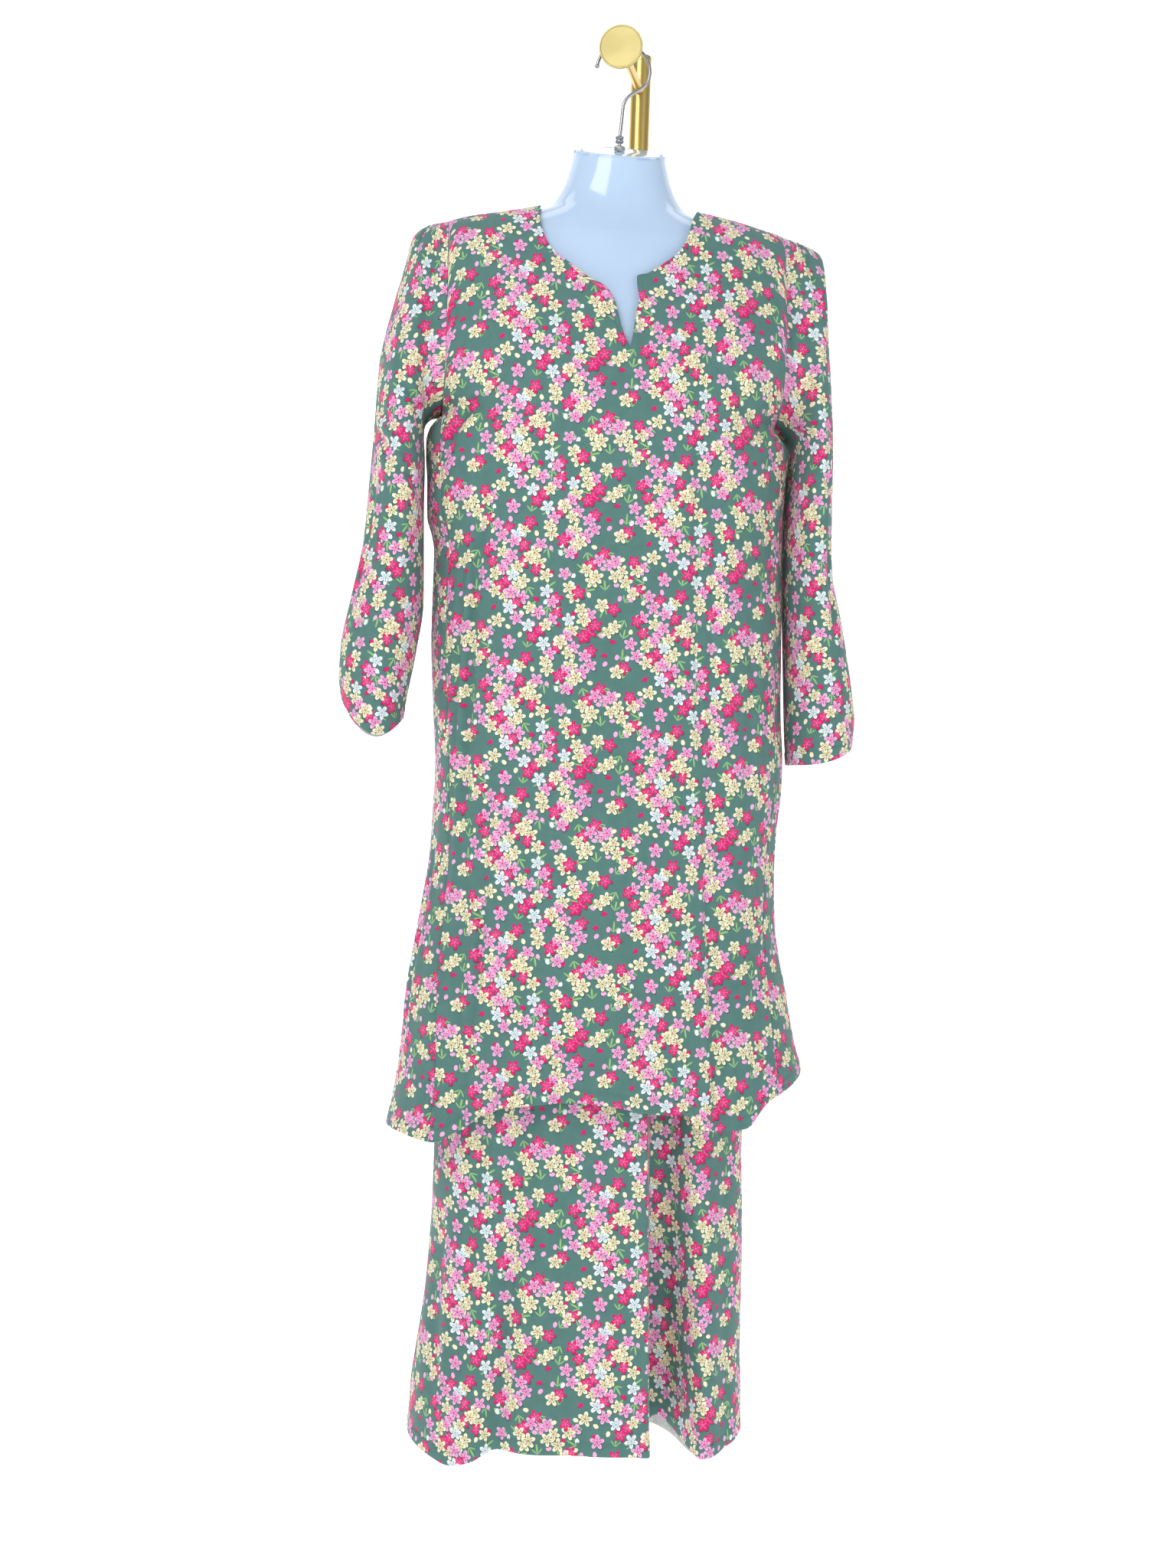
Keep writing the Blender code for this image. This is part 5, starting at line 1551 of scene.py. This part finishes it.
def draw_up(name, levels, corners, caps=(True, True)):
    """Extrudes a circle through a list of levels, scaling it at each."""
    bpy.ops.object.select_all(action="DESELECT")
    first = levels[0]
    bpy.ops.mesh.primitive_circle_add(vertices=corners, radius=1.0, fill_type="NOTHING",
                                      location=(0, 0, 0), enter_editmode=True)
    thing = bpy.context.active_object
    thing.name = name
    thing.data.name = name
    bpy.ops.transform.resize(value=(first.half_x * MM, first.half_y * MM, 1),
                             center_override=(0, 0, 0))
    bpy.ops.transform.translate(value=(0, first.centre_y * MM, first.z * MM))
    if caps[0]:
        bpy.ops.mesh.edge_face_add()
        bpy.ops.mesh.select_all(action="SELECT")
    before = first
    for level in levels[1:]:
        shift = (0, (level.centre_y - before.centre_y) * MM, (level.z - before.z) * MM)
        bpy.ops.mesh.extrude_region_move(TRANSFORM_OT_translate={"value": shift})
        scale = (level.half_x / before.half_x, level.half_y / before.half_y, 1)
        middle = (0, level.centre_y * MM, level.z * MM)
        bpy.ops.transform.resize(value=scale, center_override=middle)
        before = level
    if not caps[1]:
        bpy.ops.mesh.delete(type="ONLY_FACE")
    bpy.ops.mesh.select_all(action="SELECT")
    bpy.ops.mesh.remove_doubles(threshold=0.00001)
    bpy.ops.mesh.normals_make_consistent(inside=False)
    bpy.ops.object.mode_set(mode="OBJECT")
    return thing


def round_levels(rows):
    """Levels of a round piece, from its heights and radii."""
    return [Level(z, radius, radius, 0.0) for z, radius in rows]


def settle(thing, place, turn=(0.0, 0.0, 0.0), angle=40):
    """Puts a finished piece where it goes, with its place in its mesh."""
    select_only(thing)
    thing.rotation_euler = turn
    thing.location = [(a + b) * MM for a, b in zip(place, NECK_PLACE)]
    bpy.ops.object.transform_apply(location=True, rotation=True, scale=True)
    bpy.ops.object.shade_smooth_by_angle(angle=math.radians(angle))


def finish_piece(thing, material, node=None):
    thing.data.materials.clear()
    thing.data.materials.append(MATERIALS[material])
    if node:
        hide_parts(node)
    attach(thing, "root")


FORM_LEVELS = [
    Level(-684, 40, 24, 0), Level(-682.5, 66, 38, 0), Level(-678, 110, 66, 0),
    Level(-664, 140, 87, 0), Level(-640, 151, 95, -1), Level(-600, 151, 95.5, -1),
    Level(-520, 139, 91.5, -1), Level(-480, 131, 90, -1), Level(-440, 126.5, 89, -1),
    Level(-395, 133, 90.5, -3), Level(-350, 144, 92.5, -5), Level(-290, 158, 99, -7),
    Level(-240, 166, 100, -6), Level(-205, 178, 96.5, -4), Level(-170, 190, 90, -1),
    Level(-140, 195, 83, 1), Level(-115, 193, 75, 2), Level(-104, 186, 70.5, 2),
    Level(-98, 174, 66.5, 2), Level(-90, 153, 62, 2), Level(-80, 114, 57, 2),
    Level(-72, 84, 54.5, 1.5), Level(-66, 74, 53, 1), Level(-58, 66, 51.5, 1),
    Level(-48, 60, 50, 0.5), Level(-36, 54.8, 48.5, 0), Level(-15, 49.6, 46.5, 0),
    Level(2, 47.2, 45.5, 0), Level(30, 45.5, 45, 0),
]


def make_form():
    """Limbless torso drawn up to the neck, which is cut off at a slant."""
    form = draw_up("dress_form_shell", FORM_LEVELS, 72)
    smooth = form.modifiers.new("smooth", "SUBSURF")
    smooth.levels = 2
    smooth.render_levels = 2
    apply_modifiers(form)
    bpy.ops.object.mode_set(mode="EDIT")
    bpy.ops.mesh.select_all(action="SELECT")
    lean = math.atan(CAP_SLOPE)
    across = (0, -math.sin(lean), math.cos(lean))
    bpy.ops.mesh.bisect(plane_co=(0, 0, CAP_Z * MM), plane_no=across, use_fill=True,
                        clear_outer=True)
    bpy.ops.mesh.select_mode(type="EDGE")
    bpy.ops.object.mode_set(mode="OBJECT")
    plane = Vector(across)
    start = Vector((0, 0, CAP_Z * MM))
    mesh = form.data
    on_cap = [abs(plane.dot(v.co - start)) < 0.00002 for v in mesh.vertices]
    for edge in mesh.edges:
        edge.select = all(on_cap[index] for index in edge.vertices)
    bpy.ops.object.mode_set(mode="EDIT")
    bpy.ops.mesh.bevel(offset=0.0034, segments=6, profile=0.5, affect="EDGES")
    bpy.ops.mesh.select_all(action="SELECT")
    bpy.ops.mesh.normals_make_consistent(inside=False)
    bpy.ops.object.mode_set(mode="OBJECT")
    settle(form, (0, 0, 0), angle=60)
    finish_piece(form, "plastic", "dress_form")


def make_nut():
    """Six-sided nut with softened corners and a raised ring, on the slanted cap."""
    corner = NUT_ACROSS / math.sqrt(3)
    rows = [(0, corner * 0.94), (0.5, corner), (NUT_HEIGHT - 0.8, corner), (NUT_HEIGHT, corner * 0.9),
            (NUT_HEIGHT, corner * 0.62), (NUT_HEIGHT + 0.5, corner * 0.58),
            (NUT_HEIGHT + 0.5, 2.6), (NUT_HEIGHT - 1.0, 2.5)]
    nut = draw_up("neck_nut_turned", round_levels(rows), 6)
    bevel = nut.modifiers.new("corners", "BEVEL")
    bevel.width = 0.35 * MM
    bevel.segments = 3
    bevel.limit_method = "ANGLE"
    apply_modifiers(nut)
    lean = math.atan(CAP_SLOPE)
    place = (0, -math.sin(lean) * GAP, CAP_Z + math.cos(lean) * GAP)
    settle(nut, place, (lean, 0, 0), angle=30)
    finish_piece(nut, "steel", "neck_nut")


def make_collar():
    """Waisted collar with two beads, round the stem."""
    rows = [(0.0, 3.2), (0.0, 4.0), (0.5, 4.4), (1.6, 4.65), (2.5, 4.3), (3.1, 3.7), (3.5, 3.5),
            (3.9, 3.7), (4.5, 4.3), (5.4, 4.65), (6.3, 4.4), (6.8, 3.9), (6.8, 2.6), (6.6, 2.1)]
    collar = draw_up("stem_collar_turned", round_levels(rows), 40)
    settle(collar, (0, 0, 6.2), angle=35)
    finish_piece(collar, "chrome", "stem_collar")


def hook_route():
    """Middle line of the wire: ball end, round over the arm, side bend, then stem."""
    centre_z = ARM_Z + ARM_RADIUS + HOOK_REST + WIRE_RADIUS - HOOK_RADIUS
    points = []
    for degrees in range(174, -1, -6):
        turn = math.radians(degrees)
        points.append((1.5 + HOOK_RADIUS * math.cos(turn), centre_z + HOOK_RADIUS * math.sin(turn)))
    bend = [(29.0, 76.0), (26.5, 70.0), (22.0, 65.5), (16.0, 61.5), (10.0, 57.5), (5.5, 53.0),
            (3.0, 48.0), (2.2, 42.0), (1.6, 32.0), (0.8, 20.0), (0.0, 12.0), (0.0, 2.0),
            (0.0, -8.0)]
    return points + bend


def make_hook():
    """Bent bright wire with a small ball at its open end."""
    route = hook_route()
    bpy.ops.object.select_all(action="DESELECT")
    bpy.ops.curve.primitive_nurbs_path_add(location=(0, 0, 0))
    hook = bpy.context.active_object
    hook.name = "hook_wire_bent"
    curve = hook.data
    curve.splines.clear()
    line = curve.splines.new("NURBS")
    line.points.add(len(route) - 1)
    for index, (x, z) in enumerate(route):
        line.points[index].co = (x * MM, 0, z * MM, 1)
    line.order_u = 3
    line.use_endpoint_u = True
    line.resolution_u = 5
    curve.bevel_depth = WIRE_RADIUS * MM
    curve.bevel_resolution = 8
    curve.use_fill_caps = True
    select_only(hook)
    bpy.ops.object.convert(target="MESH")
    hook = bpy.context.active_object
    x, z = route[0]
    bpy.ops.object.select_all(action="DESELECT")
    bpy.ops.mesh.primitive_uv_sphere_add(segments=32, ring_count=20, radius=2.5 * MM,
                                         location=(x * MM, 0, z * MM))
    ball = bpy.context.active_object
    bpy.ops.object.transform_apply(location=True, rotation=False, scale=False)
    hook.select_set(True)
    bpy.context.view_layer.objects.active = hook
    bpy.ops.object.join()
    settle(hook, (0, 0, 0), angle=50)
    finish_piece(hook, "chrome", "hook_wire")


def arm_direction():
    reach = math.hypot(POST_X, POST_Y)
    return -POST_X / reach, -POST_Y / reach, reach


def make_post():
    """Upright tube with a softly rounded plug in its top."""
    tall = POST_TOP_Z - POST_FOOT_Z
    r = POST_RADIUS
    rows = [(0, r - 0.6), (0.6, r), (tall - 7.2, r), (tall - 6.9, r - 0.35), (tall - 6.6, r),
            (tall - 1.6, r), (tall - 0.8, r - 0.3), (tall - 0.2, r - 1.0), (tall, r - 1.8),
            (tall, 0.4)]
    post = draw_up("rail_post_tube", round_levels(rows), 72)
    settle(post, (POST_X, POST_Y, POST_FOOT_Z), angle=25)
    finish_piece(post, "gold", "rail_post")


def make_arm():
    """Level rod from the post, with a small collar where it is screwed in."""
    across, forward, reach = arm_direction()
    start = POST_RADIUS + GAP
    length = reach - start + DISC_BEYOND_HOOK
    r = ARM_RADIUS
    rows = [(0, r + 0.2), (0.4, r + 1.6), (3.0, r + 1.6), (3.6, r + 0.9), (4.2, r), (length - 0.4, r),
            (length, r - 0.4)]
    arm = draw_up("rail_arm_rod", round_levels(rows), 40)
    place = (POST_X + across * start, POST_Y + forward * start, ARM_Z)
    settle(arm, place, (0, math.pi / 2, math.atan2(forward, across)), angle=30)
    finish_piece(arm, "gold", "rail_arm")


def make_disc():
    """Round end stop: a pale dished face inside a raised rim."""
    across, forward, reach = arm_direction()
    r = DISC_RADIUS
    t = DISC_THICKNESS
    rows = [(0.0, 0.3), (0.0, r - 0.9), (0.15, r - 0.35), (0.8, r), (t - 0.5, r),
            (t - 0.1, r - 0.3), (t, r - 0.8), (t - 0.1, r - 1.5), (t - 0.6, r - 2.0),
            (t - 0.6, r - 3.2), (t - 0.75, 12.0), (t - 0.75, 0.3)]
    disc = draw_up("arm_disc_turned", round_levels(rows), 96)
    out = reach + DISC_BEYOND_HOOK + GAP
    place = (POST_X + across * out, POST_Y + forward * out, ARM_Z)
    settle(disc, place, (0, math.pi / 2, math.atan2(forward, across)), angle=35)
    finish_piece(disc, "pale_gold", "arm_disc")


# Studio


def make_camera():
    right = np.array([math.cos(CAMERA_AZIMUTH), -math.sin(CAMERA_AZIMUTH), 0])
    ahead = np.array([math.sin(CAMERA_AZIMUTH), math.cos(CAMERA_AZIMUTH), 0])
    up = np.array([0.0, 0.0, 1.0])
    across = math.cos(CAMERA_ROLL) * right + math.sin(CAMERA_ROLL) * up
    above = -math.sin(CAMERA_ROLL) * right + math.cos(CAMERA_ROLL) * up
    target = np.array(CAMERA_TARGET)
    place = (target - ahead * CAMERA_DISTANCE + NECK_PLACE) * MM
    data = bpy.data.cameras.new("photo_camera")
    data.sensor_width = SENSOR
    data.lens = CAMERA_LENS
    camera = bpy.data.objects.new("photo_camera", data)
    bpy.context.scene.collection.objects.link(camera)
    turn = Matrix((across, above, -ahead)).transposed().to_4x4()
    camera.matrix_world = Matrix.Translation(Vector(place)) @ turn
    bpy.context.scene.camera = camera


def soft_light(name, place, target, wide, tall, power, tint=(1, 1, 1)):
    data = bpy.data.lights.new(name, "AREA")
    data.shape = "RECTANGLE"
    data.size = wide
    data.size_y = tall
    data.energy = power
    data.color = tint
    light = bpy.data.objects.new(name, data)
    bpy.context.scene.collection.objects.link(light)
    light.location = place
    light.rotation_euler = (Vector(target) - Vector(place)).to_track_quat("-Z", "Y").to_euler()


def make_studio():
    """Pale paper that sweeps from the floor up behind, and soft lights."""
    floor_z = float(cad_low.z) - 0.16
    bend = 0.8
    back_y = 2.2
    profile = [(-5.0, floor_z), (back_y, floor_z)]
    for step in range(1, 13):
        turn = math.radians(90 * step / 12)
        profile.append((back_y + bend * math.sin(turn), floor_z + bend * (1 - math.cos(turn))))
    profile.append((back_y + bend, 5.0))
    points = [(x, y, z) for y, z in profile for x in (-6.0, 6.0)]
    faces = [(2 * i, 2 * i + 1, 2 * i + 3, 2 * i + 2) for i in range(len(profile) - 1)]
    mesh = bpy.data.meshes.new("studio_sweep")
    mesh.from_pydata(points, [], faces)
    mesh.shade_smooth()
    sweep = bpy.data.objects.new("studio_sweep", mesh)
    bpy.context.scene.collection.objects.link(sweep)
    mesh.materials.append(MATERIALS["paper"])
    middle = (-0.04, -0.12, -0.55)
    upper = (-0.04, -0.12, -0.3)
    soft_light("key", (-1.3, -1.9, 1.1), upper, 1.2, 1.3, 24)
    soft_light("fill", (1.9, -2.6, -0.2), middle, 1.8, 2.4, 14)
    soft_light("strip", (-0.74, -2.75, 0.35), (-0.04, -0.125, 0.05), 0.10, 1.1, 4)
    soft_light("paper_wash", (0.0, 0.7, 2.6), (0.0, 2.9, -0.4), 4.0, 1.6, 30)
    world = bpy.data.worlds.new("studio")
    world.use_nodes = True
    world.node_tree.nodes["Background"].inputs["Color"].default_value = (1.0, 1.0, 1.0, 1)
    world.node_tree.nodes["Background"].inputs["Strength"].default_value = 0.42
    bpy.context.scene.world = world
    bpy.context.scene.view_settings.view_transform = "Standard"


make_camera()
make_studio()
front_parts, neck_rows = make_tunic_front()
pieces = {
    "back_hem": make_tunic_back(),
    "gore_left_hem": make_gore("gore_left", -1),
    "gore_right_hem": make_gore("gore_right", 1),
    "left_cuff": make_sleeve("sleeve_left", -1, LEFT_SLEEVE, LEFT_SLEEVE_CREASES),
    "right_cuff": make_sleeve("sleeve_right", 1, RIGHT_SLEEVE, RIGHT_SLEEVE_CREASES),
    "skirt_front_hem": make_skirt_panel("skirt_front", -1, SKIRT_FRONT_HEM, skirt_press_front,
                                        SKIRT_FRONT_CREASES, 12),
    "skirt_back_hem": make_skirt_panel("skirt_back", 1, SKIRT_BACK_HEM, skirt_press_back,
                                       SKIRT_BACK_CREASES, 14),
}
for piece_name, (piece_points, piece_normal) in pieces.items():
    make_stitches(piece_name + "_stitches", [line_from_edge(piece_points, piece_normal, HEM_TURN)])
front_lines = []
for half_points, _, _, half_normal in front_parts:
    front_lines.append(line_from_edge(half_points, half_normal, HEM_TURN))
    neck_side = (slice(0, neck_rows), slice(None, None, -1))
    front_lines.append(line_from_edge(half_points[neck_side].transpose(1, 0, 2),
                                      half_normal[neck_side].transpose(1, 0, 2), NECK_STITCH))
make_stitches("tunic_front_stitches", front_lines)
make_waistband()
make_rolled_edge(front_parts, neck_rows)
make_form()
make_nut()
make_collar()
make_hook()
make_post()
make_arm()
make_disc()
